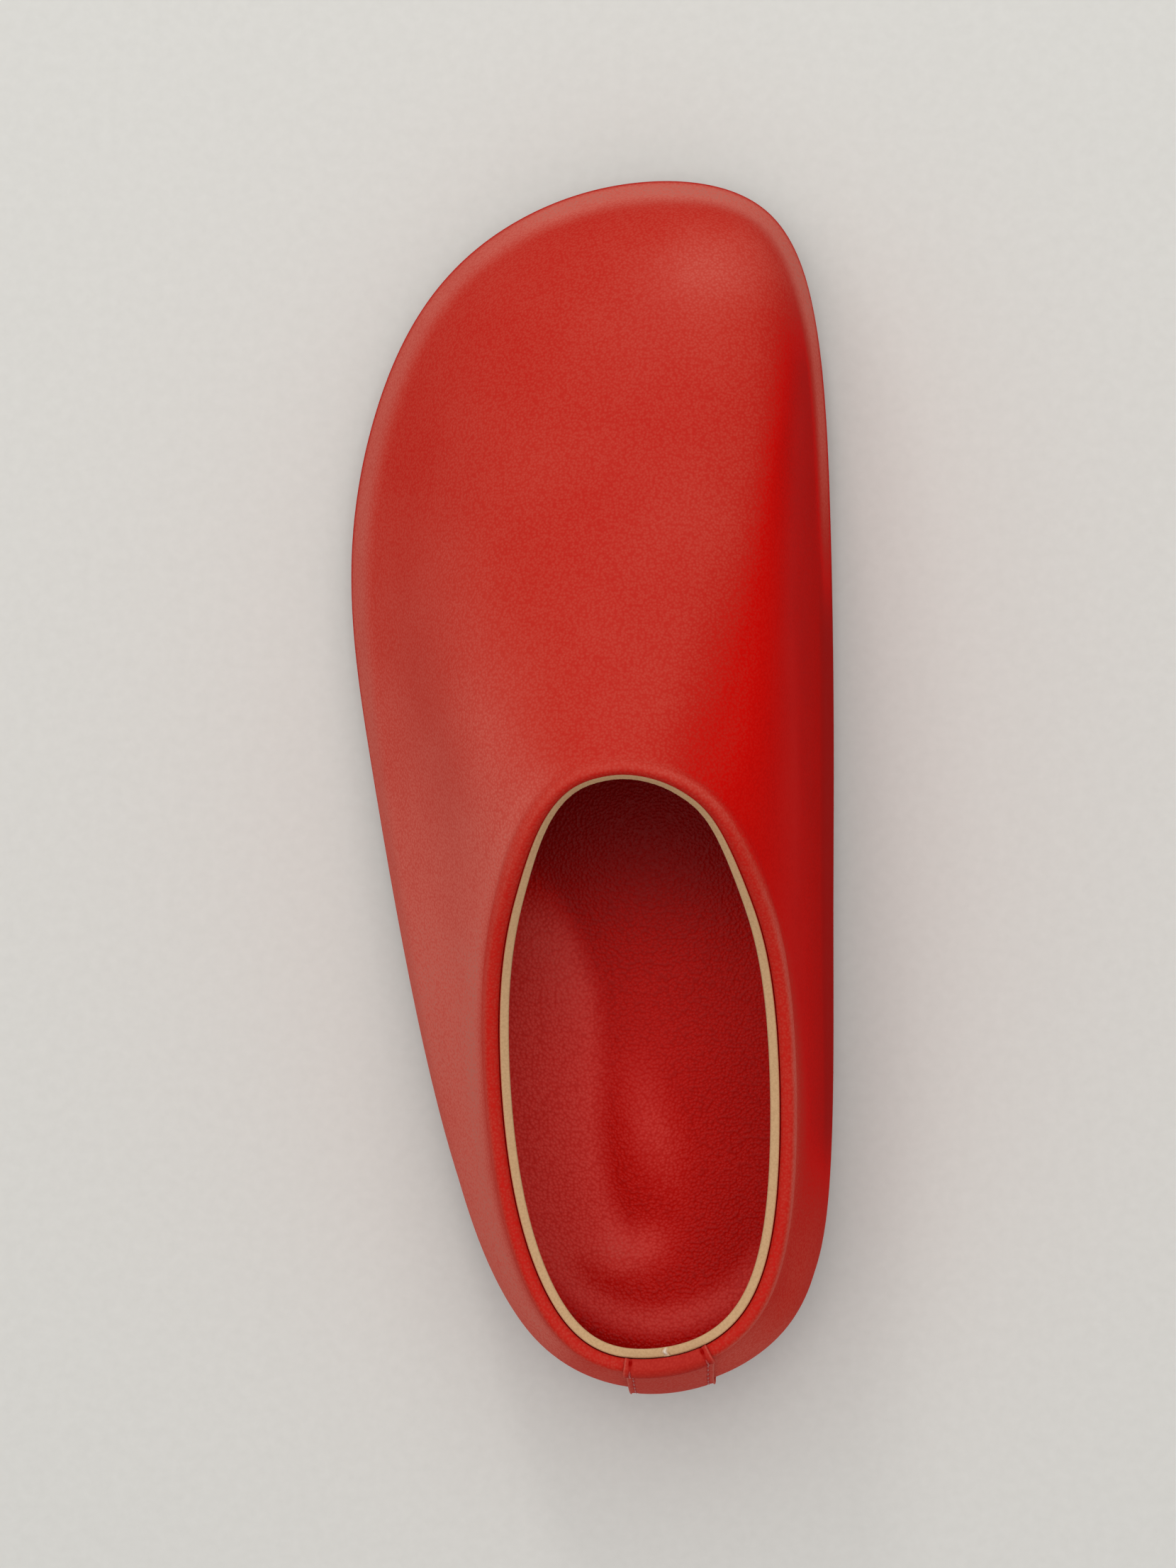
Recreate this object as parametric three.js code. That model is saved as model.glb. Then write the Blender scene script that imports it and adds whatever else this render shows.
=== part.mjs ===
// A closed clog for the left foot, moulded from one piece of leather over a roomy, round-toed last.
// The upper is a hollow shell with a rolled collar. A raw-edged lining band stands inside the collar,
// a strip covers the back seam, a contoured insole fills the foot of the shell and a rubber sole closes it.
// Millimetres, +Y towards the toe, +X towards the inner side of the foot, +Z up, floor at zero.
import * as THREE from "three";

// Driving dimensions of the last
const LENGTH = 266;
const BALL_WIDTH = 108.4;
const INSTEP_HEIGHT = 86;
const QUARTER_HEIGHT = 60;
const HEEL_LINE = -132.7;

// Leather and seams
const UPPER_WALL = 2.2;
const LINING_WALL = 2;
const LINING_SKIVED = 0.6;
const LINING_DEPTH = 14;
const LINING_GAP = 0.4;
const SEAM_GAP = 0.3;

// Side wall of the upper and the edge where the dome begins
const SIDE_WALL = 14;
const EDGE_LEG = 3;

// Rolled collar
const NECK = 7;
const BEAD_PROUD = 0.9;
const BEAD_FULL = 3.2;
const BEAD_FADE = 6;
const BEAD_SOFTENING = 0.4;
const BEAD_SOFT_FROM = 65;

// Strip over the back seam
const STRIP_WIDTH = 18.5;
const STRIP_MIDDLE = 19.3;
const STRIP_WALL = 0.8;
const STRIP_GAP = 0.2;
const STRIP_FOOT = 0.12;
const STRIP_WRAP = 120;

// Sole
const SOLE_FOREFOOT = 8;
const SOLE_HEEL = 12;
const HEEL_STEP = [-60, 30];
const TOE_SPRING = 7;
const SPRING_START = 75;
const SPRING_THINNING = 0.85;
const ARCH_LIFT = 2.5;
const ARCH_SPAN = [-50, 15];
const SOLE_INSET = 0.8;
const SOLE_ROUND = 2.4;

// Mesh steps
const COLUMNS_AROUND = 64;
const DOME_STEPS = 8;
const BEAD_STEPS = 4;
const LADDER_RUNGS = 12;
const STRIP_STEPS = 6;

// One row for each section round the shoe, from the back of the heel by the inner side to the toe and
// back by the outer side. along and across place the foot of the wall, mouthAlong and mouthAcross the
// collar's edge, in percent of the length and of half the ball width. mouthRise is the collar's height in
// percent from quarter to instep. lean tilts the side wall inwards, shoulder is the dome's first slope and
// neck its last, in degrees, and reach and pull are how far those two slopes hold, in millimetres.
const SECTION_FIELDS = [
  "along", "across", "mouthAlong", "mouthAcross", "mouthRise", "lean", "shoulder", "reach", "neck", "pull",
];
const SECTIONS = {
  heelBack: [0.4, 28.8, 4.3, 27.9, 15, -3, 92, 14, 80, 12],
  heelInner: [4.4, 77.7, 6.7, 59.4, 13, -1, 89, 13, 80, 12],
  heelSideInner: [14.9, 97.8, 15.7, 77.3, 3, 4, 79, 14, 80, 12],
  waistInner: [35.9, 100, 32.1, 77.5, 19, 8, 72, 16, 78, 14],
  instepInner: [54.7, 100, 41.5, 67.3, 58, 9, 69, 20, 62, 20],
  ballInner: [73.5, 98.3, 47.0, 55.0, 83, 9, 76, 28, 43, 20],
  toeInner: [88.5, 92.3, 49.4, 43.2, 94, 10, 86, 31, 34, 28],
  bigToe: [97.8, 70.8, 50.4, 32.8, 99, 17, 79, 30, 28, 37],
  toeTip: [100, 21.4, 50.8, 21.4, 100, 21, 66, 31, 26, 40],
  smallToe: [96.5, -33.9, 50.5, 10.0, 99, 21, 58, 32, 26, 37],
  toeOuter: [86.8, -78.6, 49.4, -0.9, 93, 20, 56, 31, 30, 32],
  ballOuter: [69.7, -100, 46.7, -11.3, 81, 19, 55, 28, 39, 24],
  instepOuter: [51.7, -92.3, 41.7, -21.0, 58, 16, 56, 22, 55, 20],
  waistOuter: [34.4, -76.6, 32.5, -29.5, 21, 12, 58, 17, 68, 16],
  heelSideOuter: [17.1, -55.9, 17.2, -24.7, 1, 7, 66, 14, 72, 13],
  heelOuter: [4.5, -23.6, 6.7, -2.8, 13, 0, 86, 13, 77, 12],
};
const SECTION_COUNT = Object.keys(SECTIONS).length;

// The insole's top, heel to toe: along in percent of the length, hollow is the height of its middle,
// inner and outer are how high its edges climb the side wall, in percent, and run is how far in they
// level out, in millimetres.
const INSOLE_FIELDS = ["along", "hollow", "inner", "outer", "run"];
const INSOLE_STATIONS = [
  [0, 20.5, 96, 96, 15],
  [14, 19.0, 96, 96, 16],
  [30, 21.0, 100, 94, 22],
  [48, 22.5, 100, 88, 27],
  [72, 18.5, 80, 78, 20],
  [100, 22.0, 66, 66, 14],
];
const HEEL_RIDGE = { along: 20, across: 22, height: 1.6, halfWidth: 8, halfLength: 17 };

// Plain maths
const mix = (a, b, t) => a + (b - a) * t;
const radians = THREE.MathUtils.degToRad;
const smooth = (low, high, x) => THREE.MathUtils.smoothstep(x, low, high);
const yOf = (percent) => HEEL_LINE + (LENGTH * percent) / 100;
const xOf = (percent) => (BALL_WIDTH / 2) * (percent / 100);

// A smooth closed run of numbers through evenly spaced values: a periodic cubic B-spline.
function closedSpline(values) {
  const count = values.length;
  const wrap = (i) => ((i % count) + count) % count;
  const control = values.slice();
  const settlingPasses = 40;
  for (let pass = 0; pass < settlingPasses; pass++) {
    for (let i = 0; i < count; i++) {
      control[i] = (6 * values[i] - control[wrap(i - 1)] - control[wrap(i + 1)]) / 4;
    }
  }
  return (u) => {
    const first = Math.floor(u);
    const f = u - first;
    const [a, b, c, d] = [-1, 0, 1, 2].map((step) => control[wrap(first + step)]);
    const early = (1 - f) ** 3 * a + (3 * f ** 3 - 6 * f ** 2 + 4) * b;
    const late = (-3 * f ** 3 + 3 * f ** 2 + 3 * f + 1) * c + f ** 3 * d;
    return (early + late) / 6;
  };
}

// A value between the rows of a table of stations, on a smooth curve through all of them.
function stationValue(rows, fields, name, at) {
  const column = fields.indexOf(name);
  const slope = (i) => {
    const [before, after] = [rows[Math.max(0, i - 1)], rows[Math.min(rows.length - 1, i + 1)]];
    return (after[column] - before[column]) / (after[0] - before[0]);
  };
  const next = Math.min(rows.length - 1, Math.max(1, rows.findIndex((row) => row[0] >= at)));
  const [from, to] = [rows[next - 1], rows[next]];
  const span = to[0] - from[0];
  const t = THREE.MathUtils.clamp((at - from[0]) / span, 0, 1);
  const late = 3 * t ** 2 - 2 * t ** 3;
  const rise = (t ** 3 - 2 * t ** 2 + t) * slope(next - 1) + (t ** 3 - t ** 2) * slope(next);
  return mix(from[column], to[column], late) + span * rise;
}

const sectionSplines = Object.fromEntries(
  SECTION_FIELDS.map((name, i) => [name, closedSpline(Object.values(SECTIONS).map((row) => row[i]))]),
);

// Heights of the sole
const toeSpring = (y) => TOE_SPRING * (Math.max(0, y - SPRING_START) / (yOf(100) - SPRING_START)) ** 2;
function archLift(y) {
  const t = THREE.MathUtils.clamp((y - ARCH_SPAN[0]) / (ARCH_SPAN[1] - ARCH_SPAN[0]), 0, 1);
  return ARCH_LIFT * Math.sin(Math.PI * t) ** 2;
}
const soleBottom = (y) => toeSpring(y) + archLift(y);
const soleTop = (y) =>
  mix(SOLE_HEEL, SOLE_FOREFOOT, smooth(...HEEL_STEP, y)) + SPRING_THINNING * toeSpring(y);

// Points of the two driving loops in plan, and the inward direction square to each.
const footPlan = (u) => new THREE.Vector3(xOf(sectionSplines.across(u)), yOf(sectionSplines.along(u)), 0);
const mouthPlan = (u) =>
  new THREE.Vector3(xOf(sectionSplines.mouthAcross(u)), yOf(sectionSplines.mouthAlong(u)), 0);
function inwardOf(plan, u) {
  const step = 0.02;
  const ahead = plan(u + step).sub(plan(u - step));
  return new THREE.Vector3(-ahead.y, ahead.x, 0).normalize();
}
const sloped = (inward, degrees) =>
  inward.clone().multiplyScalar(Math.cos(radians(degrees))).setZ(Math.sin(radians(degrees)));
const along = (start, direction, distance) => start.clone().addScaledVector(direction, distance);

// The guide points of one section of the upper's outer face, from the wall's foot to the collar's top.
function sectionGuide(u) {
  const value = Object.fromEntries(SECTION_FIELDS.map((name) => [name, sectionSplines[name](u)]));
  const inward = inwardOf(footPlan, u);
  const foot = footPlan(u);
  foot.z = soleTop(foot.y) + SEAM_GAP;
  const edge = along(foot, inward, SIDE_WALL * Math.tan(radians(value.lean))).setZ(foot.z + SIDE_WALL);
  const wallRun = edge.clone().sub(foot).normalize();
  const shoulderRun = sloped(inward, value.shoulder);
  const mouthInward = inwardOf(mouthPlan, u);
  const neckRun = sloped(mouthInward, value.neck);
  const neckOut = sloped(mouthInward.clone().negate(), 90 - value.neck);
  const mouth = mouthPlan(u).setZ(mix(QUARTER_HEIGHT, INSTEP_HEIGHT, value.mouthRise / 100));
  const top = along(mouth, neckOut, UPPER_WALL);
  const neckBase = along(top, neckRun, -NECK);
  const domeStart = along(edge, shoulderRun, EDGE_LEG);
  return {
    foot, edge, domeStart, neckBase, top, mouth, neckRun, neckOut,
    pull: value.pull,
    wallTop: along(edge, wallRun, -EDGE_LEG),
    shoulder: along(domeStart, shoulderRun, value.reach),
    neckPull: along(neckBase, neckRun, -value.pull),
  };
}

// The upper's outer face. s runs from 0 to 1 up the wall, then to 2 round its edge, to 3 over the dome and
// to 4 up the neck.
function shell(u, s) {
  const g = sectionGuide(u);
  if (s <= 1) return g.foot.lerp(g.wallTop, s);
  if (s <= 2) return new THREE.QuadraticBezierCurve3(g.wallTop, g.edge, g.domeStart).getPoint(s - 1);
  if (s <= 3) {
    return new THREE.CubicBezierCurve3(g.domeStart, g.shoulder, g.neckPull, g.neckBase).getPoint(s - 2);
  }
  return g.neckBase.lerp(g.top, s - 3);
}
function shellNormal(u, s) {
  const step = 0.01;
  const low = Math.max(0, s - step);
  const high = Math.min(4, s + step);
  const around = shell(u + step, s).sub(shell(u - step, s));
  return around.cross(shell(u, high).sub(shell(u, low))).normalize();
}
const shellOffset = (u, s, out) => along(shell(u, s), shellNormal(u, s), out);

// The rolled bead, as extra height on the neck at a depth below the collar's top. It softens at the instep.
const neckAt = (depth) => 4 - depth / NECK;
const beadShare = (u) => 1 - BEAD_SOFTENING * smooth(BEAD_SOFT_FROM, 100, sectionSplines.mouthRise(u));
function beadProud(u, s) {
  const share = beadShare(u);
  return BEAD_PROUD * share * (1 - smooth(BEAD_FULL * share, BEAD_FADE * share, (4 - s) * NECK));
}
function beadTop(u, degrees, out) {
  const g = sectionGuide(u);
  const beadRadius = (UPPER_WALL + BEAD_PROUD * beadShare(u)) / 2;
  const radius = beadRadius + out;
  const centre = along(along(g.mouth, g.neckOut, beadRadius), g.neckRun, -beadRadius);
  const across = along(centre, g.neckOut, radius * Math.cos(radians(degrees)));
  return along(across, g.neckRun, radius * Math.sin(radians(degrees)));
}
const evenly = (from, to, steps) => Array.from({ length: steps + 1 }, (_, i) => mix(from, to, i / steps));

// A mesh made by joining points into faces.
class Facets {
  constructor() {
    this.positions = [];
    this.faces = [];
  }
  point(p) {
    this.positions.push(p.x, p.y, p.z);
    return this.positions.length / 3 - 1;
  }
  points(list) {
    return list.map((p) => this.point(p));
  }
  quad(a, b, c, d) {
    this.faces.push(a, b, c, a, c, d);
  }
  // Faces between two runs of points, joined end to end where closed.
  band(lower, upper, closed) {
    const count = closed ? lower.length : lower.length - 1;
    for (let i = 0; i < count; i++) {
      const next = (i + 1) % lower.length;
      this.quad(lower[i], lower[next], upper[next], upper[i]);
    }
  }
  // Fills a closed loop with rungs from its inner side to its outer side. heightAt gives a rung's points.
  ladder(loop, heightAt, facingUp) {
    const half = loop.length / 2;
    const planOf = (index) => new THREE.Vector3().fromArray(this.positions, index * 3);
    const rungs = evenly(0, half, half).map((i) => {
      if (i === 0 || i === half) return [loop[i]];
      const [from, to] = [loop[i], loop[loop.length - i]];
      const between = evenly(0, 1, LADDER_RUNGS).slice(1, -1);
      const middle = between.map((t) => heightAt(planOf(from).lerp(planOf(to), t)));
      return [from, ...this.points(middle), to];
    });
    const face = (a, b, c) => (facingUp ? this.faces.push(a, b, c) : this.faces.push(a, c, b));
    for (let i = 0; i < half; i++) {
      const [near, far] = [rungs[i], rungs[i + 1]];
      for (let j = 0; j < Math.max(near.length, far.length) - 1; j++) {
        const [a, b] = [near[Math.min(j, near.length - 1)], near[Math.min(j + 1, near.length - 1)]];
        const [c, d] = [far[Math.min(j, far.length - 1)], far[Math.min(j + 1, far.length - 1)]];
        if (c !== d) face(a, c, d);
        if (a !== b) face(a, d, b);
      }
    }
  }
  geometry() {
    const made = new THREE.BufferGeometry();
    made.setAttribute("position", new THREE.Float32BufferAttribute(this.positions, 3));
    made.setIndex(this.faces);
    made.computeVertexNormals();
    return made;
  }
}
const columns = evenly(0, SECTION_COUNT, COLUMNS_AROUND).slice(0, -1);

// A closed section carried right round the shoe.
function ring(sectionAt) {
  const facets = new Facets();
  const loops = columns.map((u) => facets.points(sectionAt(u)));
  loops.forEach((loop, i) => facets.band(loops[(i + 1) % loops.length], loop, true));
  return facets.geometry();
}

// The hollow upper: wall, dome, neck and bead outside, and one wall's thickness further in inside.
function upperGeometry() {
  const dome = evenly(2, 3, DOME_STEPS);
  const outer = [0, 0.55, 1, 1.5, ...dome, ...[5, 3.8, 2.6].map(neckAt)];
  const inner = [neckAt(3.5), ...dome.toReversed(), 1, 0];
  return ring((u) => [
    ...outer.map((s) => shellOffset(u, s, beadProud(u, s))),
    ...evenly(0, 180, BEAD_STEPS).map((degrees) => beadTop(u, degrees, 0)),
    ...inner.map((s) => innerFace(u, s, 0)),
  ]);
}
// The inside of the upper's wall, or a face a little further in. Its foot stays level with the outer foot.
function innerFace(u, s, further) {
  const point = shellOffset(u, s, -UPPER_WALL - further);
  return s === 0 ? along(shell(u, 0), inwardOf(footPlan, u), UPPER_WALL + further) : point;
}

// The lining band inside the collar, cut square at the top and skived thin at its lower edge.
function liningGeometry() {
  const belowNeck = LINING_DEPTH - NECK;
  const pathAt = (u) => {
    const domeRate = 3 * sectionGuide(u).pull;
    return [3 - belowNeck / domeRate, 3 - belowNeck / 2 / domeRate, 3, neckAt(3.5), neckAt(SEAM_GAP)];
  };
  return ring((u) => {
    const path = pathAt(u);
    const backs = path.map((s) => innerFace(u, s, LINING_GAP));
    const faces = path.map((s, i) => innerFace(u, s, LINING_GAP + (i ? LINING_WALL : LINING_SKIVED)));
    return [...backs, ...faces.reverse()];
  });
}

// The strip over the back seam, from the sole up the heel and over the bead.
function stripGeometry() {
  const climb = [STRIP_FOOT, 0.55, 1, 1.5, ...evenly(2, 3, DOME_STEPS), ...[5, 3.8, 2.6].map(neckAt)];
  const step = 0.05;
  const columnAt = (share) => (s) => {
    const speed = shell(step, s).distanceTo(shell(-step, s)) / (2 * step);
    return (STRIP_MIDDLE + (share * STRIP_WIDTH) / 2 - shell(0, s).x) / speed;
  };
  const faceAt = (share, out) => {
    const column = columnAt(share);
    const wrapColumn = column(4);
    return [
      ...climb.map((s) => shellOffset(column(s), s, beadProud(column(s), s) + out)),
      ...evenly(0, STRIP_WRAP, BEAD_STEPS).map((degrees) => beadTop(wrapColumn, degrees, out)),
    ];
  };
  const facets = new Facets();
  const shares = evenly(-1, 1, STRIP_STEPS);
  const backs = shares.map((share) => facets.points(faceAt(share, STRIP_GAP)));
  const fronts = shares.map((share) => facets.points(faceAt(share, STRIP_GAP + STRIP_WALL)));
  for (let i = 0; i < STRIP_STEPS; i++) {
    facets.band(fronts[i + 1], fronts[i], false);
    facets.band(backs[i], backs[i + 1], false);
  }
  facets.band(fronts[0], backs[0], false);
  facets.band(backs[STRIP_STEPS], fronts[STRIP_STEPS], false);
  const last = fronts[0].length - 1;
  facets.band(backs.map((run) => run[0]), fronts.map((run) => run[0]), false);
  facets.band(fronts.map((run) => run[last]), backs.map((run) => run[last]), false);
  return facets.geometry();
}

// Distance from a point to a closed loop of points.
function distanceToLoop(p, loop) {
  const nearest = new THREE.Vector3();
  const distances = loop.map((start, i) => {
    const side = new THREE.Line3(start, loop[(i + 1) % loop.length]);
    return side.closestPointToPoint(p, true, nearest).distanceTo(p);
  });
  return Math.min(...distances);
}

// The contoured insole: it fills the foot of the shell and its top is dished between the side walls.
function insoleGeometry() {
  const percentAlong = (y) => ((y - HEEL_LINE) / LENGTH) * 100;
  const station = (name, y) => stationValue(INSOLE_STATIONS, INSOLE_FIELDS, name, percentAlong(y));
  const edgeAt = (u, share) => {
    const y = footPlan(u).y;
    const innerShare = station("inner", y) / 100;
    const outerShare = station("outer", y) / 100;
    const climb = u < SECTION_COUNT / 2 ? innerShare : outerShare;
    return innerFace(u, climb * share, SEAM_GAP);
  };
  const ridgeAt = (p) => {
    const across = (p.x - xOf(HEEL_RIDGE.across)) / HEEL_RIDGE.halfWidth;
    const lengthwise = (p.y - yOf(HEEL_RIDGE.along)) / HEEL_RIDGE.halfLength;
    return HEEL_RIDGE.height * Math.exp(-across * across - lengthwise * lengthwise);
  };
  const rim = columns.map((u) => edgeAt(u, 1).setZ(0));
  const topAt = (p) => {
    const away = Math.min(1, distanceToLoop(p.clone().setZ(0), rim) / station("run", p.y));
    return p.setZ(mix(station("hollow", p.y) + ridgeAt(p), p.z, (1 - away) ** 2));
  };
  const facets = new Facets();
  const loops = [0, 0.5, 1].map((share) => facets.points(columns.map((u) => edgeAt(u, share))));
  loops.slice(1).forEach((loop, i) => facets.band(loops[i], loop, true));
  facets.ladder(loops[0], (p) => p.setZ(soleTop(p.y) + SEAM_GAP), false);
  facets.ladder(loops.at(-1), topAt, true);
  return facets.geometry();
}

// The rubber sole: a low wedge with a flat heel, a lifted waist, a flat ball and a sprung toe.
function soleGeometry() {
  const loopAt = (inset, heightAt) => (u) => {
    const p = along(footPlan(u), inwardOf(footPlan, u), inset);
    return p.setZ(heightAt(p.y));
  };
  const rows = [
    loopAt(SOLE_INSET + SOLE_ROUND, soleBottom),
    loopAt(SOLE_INSET + SOLE_ROUND * 0.3, (y) => soleBottom(y) + SOLE_ROUND * 0.3),
    loopAt(SOLE_INSET, (y) => soleBottom(y) + SOLE_ROUND),
    loopAt(SOLE_INSET, soleTop),
  ];
  const facets = new Facets();
  const loops = rows.map((row) => facets.points(columns.map(row)));
  loops.slice(1).forEach((loop, i) => facets.band(loops[i], loop, true));
  facets.ladder(loops[0], (p) => p.setZ(soleBottom(p.y)), false);
  facets.ladder(loops.at(-1), (p) => p.setZ(soleTop(p.y)), true);
  return facets.geometry();
}

// Finishes
const leather = (color, roughness) => new THREE.MeshStandardMaterial({ color, roughness, metalness: 0 });
const redLeather = leather(0xc22a20, 0.45);
const insoleLeather = leather(0xa81a14, 0.5);
const rawEdge = leather(0xd2a878, 0.8);
const redRubber = leather(0x8f1d17, 0.7);

function piece(name, geometry, material) {
  const mesh = new THREE.Mesh(geometry, material);
  mesh.name = name;
  return mesh;
}

const clog = new THREE.Group();
clog.add(
  piece("outsole", soleGeometry(), redRubber),
  piece("insole", insoleGeometry(), insoleLeather),
  piece("upper", upperGeometry(), redLeather),
  piece("collar_lining", liningGeometry(), rawEdge),
  piece("heel_strip", stripGeometry(), redLeather),
);
export default clog;
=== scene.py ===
"""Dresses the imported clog: leather shell, raw lining edge, back strip, insole and rubber sole.

The shapes come from the same section table and the same rules as the solids, drawn much finer, so
each dressed piece keeps the form and the place of the node that it stands for.
"""

from __future__ import annotations

import logging
import math
from dataclasses import dataclass, field, fields
from enum import IntEnum
from typing import Callable, Sequence

import bmesh
import bpy
import numpy as np
from mathutils import Matrix, Vector

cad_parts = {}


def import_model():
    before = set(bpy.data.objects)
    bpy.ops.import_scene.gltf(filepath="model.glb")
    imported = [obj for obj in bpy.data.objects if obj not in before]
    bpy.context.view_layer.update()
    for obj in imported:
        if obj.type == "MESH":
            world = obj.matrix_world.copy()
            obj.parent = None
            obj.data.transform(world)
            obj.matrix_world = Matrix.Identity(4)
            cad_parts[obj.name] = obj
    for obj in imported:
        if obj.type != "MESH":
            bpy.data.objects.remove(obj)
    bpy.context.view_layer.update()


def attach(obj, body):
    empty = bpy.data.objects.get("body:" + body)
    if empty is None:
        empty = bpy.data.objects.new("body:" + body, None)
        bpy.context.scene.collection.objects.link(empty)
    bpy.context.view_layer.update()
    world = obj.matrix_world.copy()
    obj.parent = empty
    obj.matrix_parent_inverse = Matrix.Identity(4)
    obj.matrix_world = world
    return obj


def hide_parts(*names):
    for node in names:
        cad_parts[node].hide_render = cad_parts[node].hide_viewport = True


LOG = logging.getLogger("clog")
MM = 0.001
BODY = "root"
# name of the mesh value that picks each finish's tone: painted shade, painted sheen and painted
# highlights on the leathers, real chips on the raw edge
CHIPS_AND_LIGHT_ATTRIBUTE = "fade"
JOIN_DISTANCE = 1e-7
HALF_TURN = 180.0
# places up a section of the upper
WALL_TOP, DOME_START, NECK_START, COLLAR_TOP = 1.0, 2.0, 3.0, 4.0
# values that soft noise mostly stays between
NOISE_LOW, NOISE_HIGH = 0.3, 0.7
Colour = tuple[float, float, float]
Socket = bpy.types.NodeSocket
Values = float | np.ndarray


@dataclass(frozen=True)
class Section:
    """A section of the upper: loops in percent of the last, angles in degrees, holds in mm."""

    place: str
    along: float
    across: float
    mouth_along: float
    mouth_across: float
    mouth_rise: float
    lean: float
    shoulder: float
    reach: float
    neck: float
    pull: float


SECTIONS: tuple[Section, ...] = (
    Section("heel_back", 0.4, 28.8, 4.3, 27.9, 15, -3, 92, 14, 80, 12),
    Section("heel_inner", 4.4, 77.7, 6.7, 59.4, 13, -1, 89, 13, 80, 12),
    Section("heel_side_inner", 14.9, 97.8, 15.7, 77.3, 3, 4, 79, 14, 80, 12),
    Section("waist_inner", 35.9, 100, 32.1, 77.5, 19, 8, 72, 16, 78, 14),
    Section("instep_inner", 54.7, 100, 41.5, 67.3, 58, 9, 69, 20, 62, 20),
    Section("ball_inner", 73.5, 98.3, 47.0, 55.0, 83, 9, 76, 28, 43, 20),
    Section("toe_inner", 88.5, 92.3, 49.4, 43.2, 94, 10, 86, 31, 34, 28),
    Section("big_toe", 97.8, 70.8, 50.4, 32.8, 99, 17, 79, 30, 28, 37),
    Section("toe_tip", 100, 21.4, 50.8, 21.4, 100, 21, 66, 31, 26, 40),
    Section("small_toe", 96.5, -33.9, 50.5, 10.0, 99, 21, 58, 32, 26, 37),
    Section("toe_outer", 86.8, -78.6, 49.4, -0.9, 93, 20, 56, 31, 30, 32),
    Section("ball_outer", 69.7, -100, 46.7, -11.3, 81, 19, 55, 28, 39, 24),
    Section("instep_outer", 51.7, -92.3, 41.7, -21.0, 58, 16, 56, 22, 55, 20),
    Section("waist_outer", 34.4, -76.6, 32.5, -29.5, 21, 12, 58, 17, 68, 16),
    Section("heel_side_outer", 17.1, -55.9, 17.2, -24.7, 1, 7, 66, 14, 72, 13),
    Section("heel_outer", 4.5, -23.6, 6.7, -2.8, 13, 0, 86, 13, 77, 12),
)


@dataclass(frozen=True)
class InsoleStation:
    """A station of the insole's top.

    The middle's height and the edges' run are in mm, the edges' heights in percent of the wall.
    """

    along: float
    hollow: float
    inner: float
    outer: float
    run: float


INSOLE_STATIONS: tuple[InsoleStation, ...] = (
    InsoleStation(0, 20.5, 96, 96, 15),
    InsoleStation(14, 19.0, 96, 96, 16),
    InsoleStation(30, 21.0, 100, 94, 22),
    InsoleStation(48, 22.5, 100, 88, 27),
    InsoleStation(72, 18.5, 80, 78, 20),
    InsoleStation(100, 22.0, 66, 66, 14),
)


def smooth_step(low: Values, high: Values, x: Values) -> np.ndarray:
    """Returns the eased share of the way from low to high."""
    t = np.clip((np.asarray(x, float) - low) / (high - low), 0.0, 1.0)
    return t * t * (3.0 - 2.0 * t)


def hump(x: Values, middle: float, half_width: float) -> np.ndarray:
    """Returns 1 at the middle, falling softly to nothing on both sides."""
    return np.exp(-(((np.asarray(x, float) - middle) / half_width) ** 2))


def blend(a: Values, b: Values, t: Values) -> Values:
    """Returns the point or number a share t of the way from a to b."""
    return a + (b - a) * t


def unit(v: np.ndarray) -> np.ndarray:
    """Returns vectors of length one along the given ones."""
    return v / np.linalg.norm(v, axis=-1, keepdims=True)


def level_length(v: np.ndarray) -> np.ndarray:
    """Returns the lengths of vectors seen from above."""
    return np.hypot(v[..., 0], v[..., 1])


def spaced(start: float, end: float, steps: int) -> list[float]:
    """Returns evenly spaced numbers without the last."""
    return [start + (end - start) * i / steps for i in range(steps)]


def distances(points: np.ndarray) -> np.ndarray:
    """Returns how far along a line each of its points is."""
    return np.concatenate([[0.0], np.cumsum(np.linalg.norm(np.diff(points, axis=0), axis=1))])


@dataclass(frozen=True)
class Change:
    """A soft change from none to all between two places."""

    start: float
    end: float

    def share(self, x: Values) -> np.ndarray:
        """Returns how much of the change is made at x."""
        return smooth_step(self.start, self.end, x)


@dataclass(frozen=True)
class SoftLine:
    """A soft-edged line at a place, with its half width and strength."""

    at: float
    half_width: float
    amount: float = 1.0

    def share(self, x: Values) -> np.ndarray:
        """Returns the line's strength at x."""
        return self.amount * hump(x, self.at, self.half_width)


class ClosedSpline:
    """A smooth closed run of numbers through evenly spaced values."""

    def __init__(self, values: Sequence[float]) -> None:
        """Finds the control values.

        Args:
            values: the numbers to pass through, one for each whole step.
        """
        self.count = len(values)
        around = np.eye(self.count) * 4.0
        around += np.roll(np.eye(self.count), 1, axis=1) + np.roll(np.eye(self.count), -1, axis=1)
        self.control = np.linalg.solve(around / 6.0, np.asarray(values, float))

    def __call__(self, u: np.ndarray) -> np.ndarray:
        """Returns the run's value at each place.

        Args:
            u: places, where whole numbers are the given values.

        Returns:
            One number for each place.
        """
        first = np.floor(u).astype(int)
        f = u - first
        a, b, c, d = (self.control[(first + step) % self.count] for step in (-1, 0, 1, 2))
        early = (1 - f) ** 3 * a + (3 * f**3 - 6 * f**2 + 4) * b
        late = (-3 * f**3 + 3 * f**2 + 3 * f + 1) * c + f**3 * d
        return (early + late) / 6.0


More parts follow.
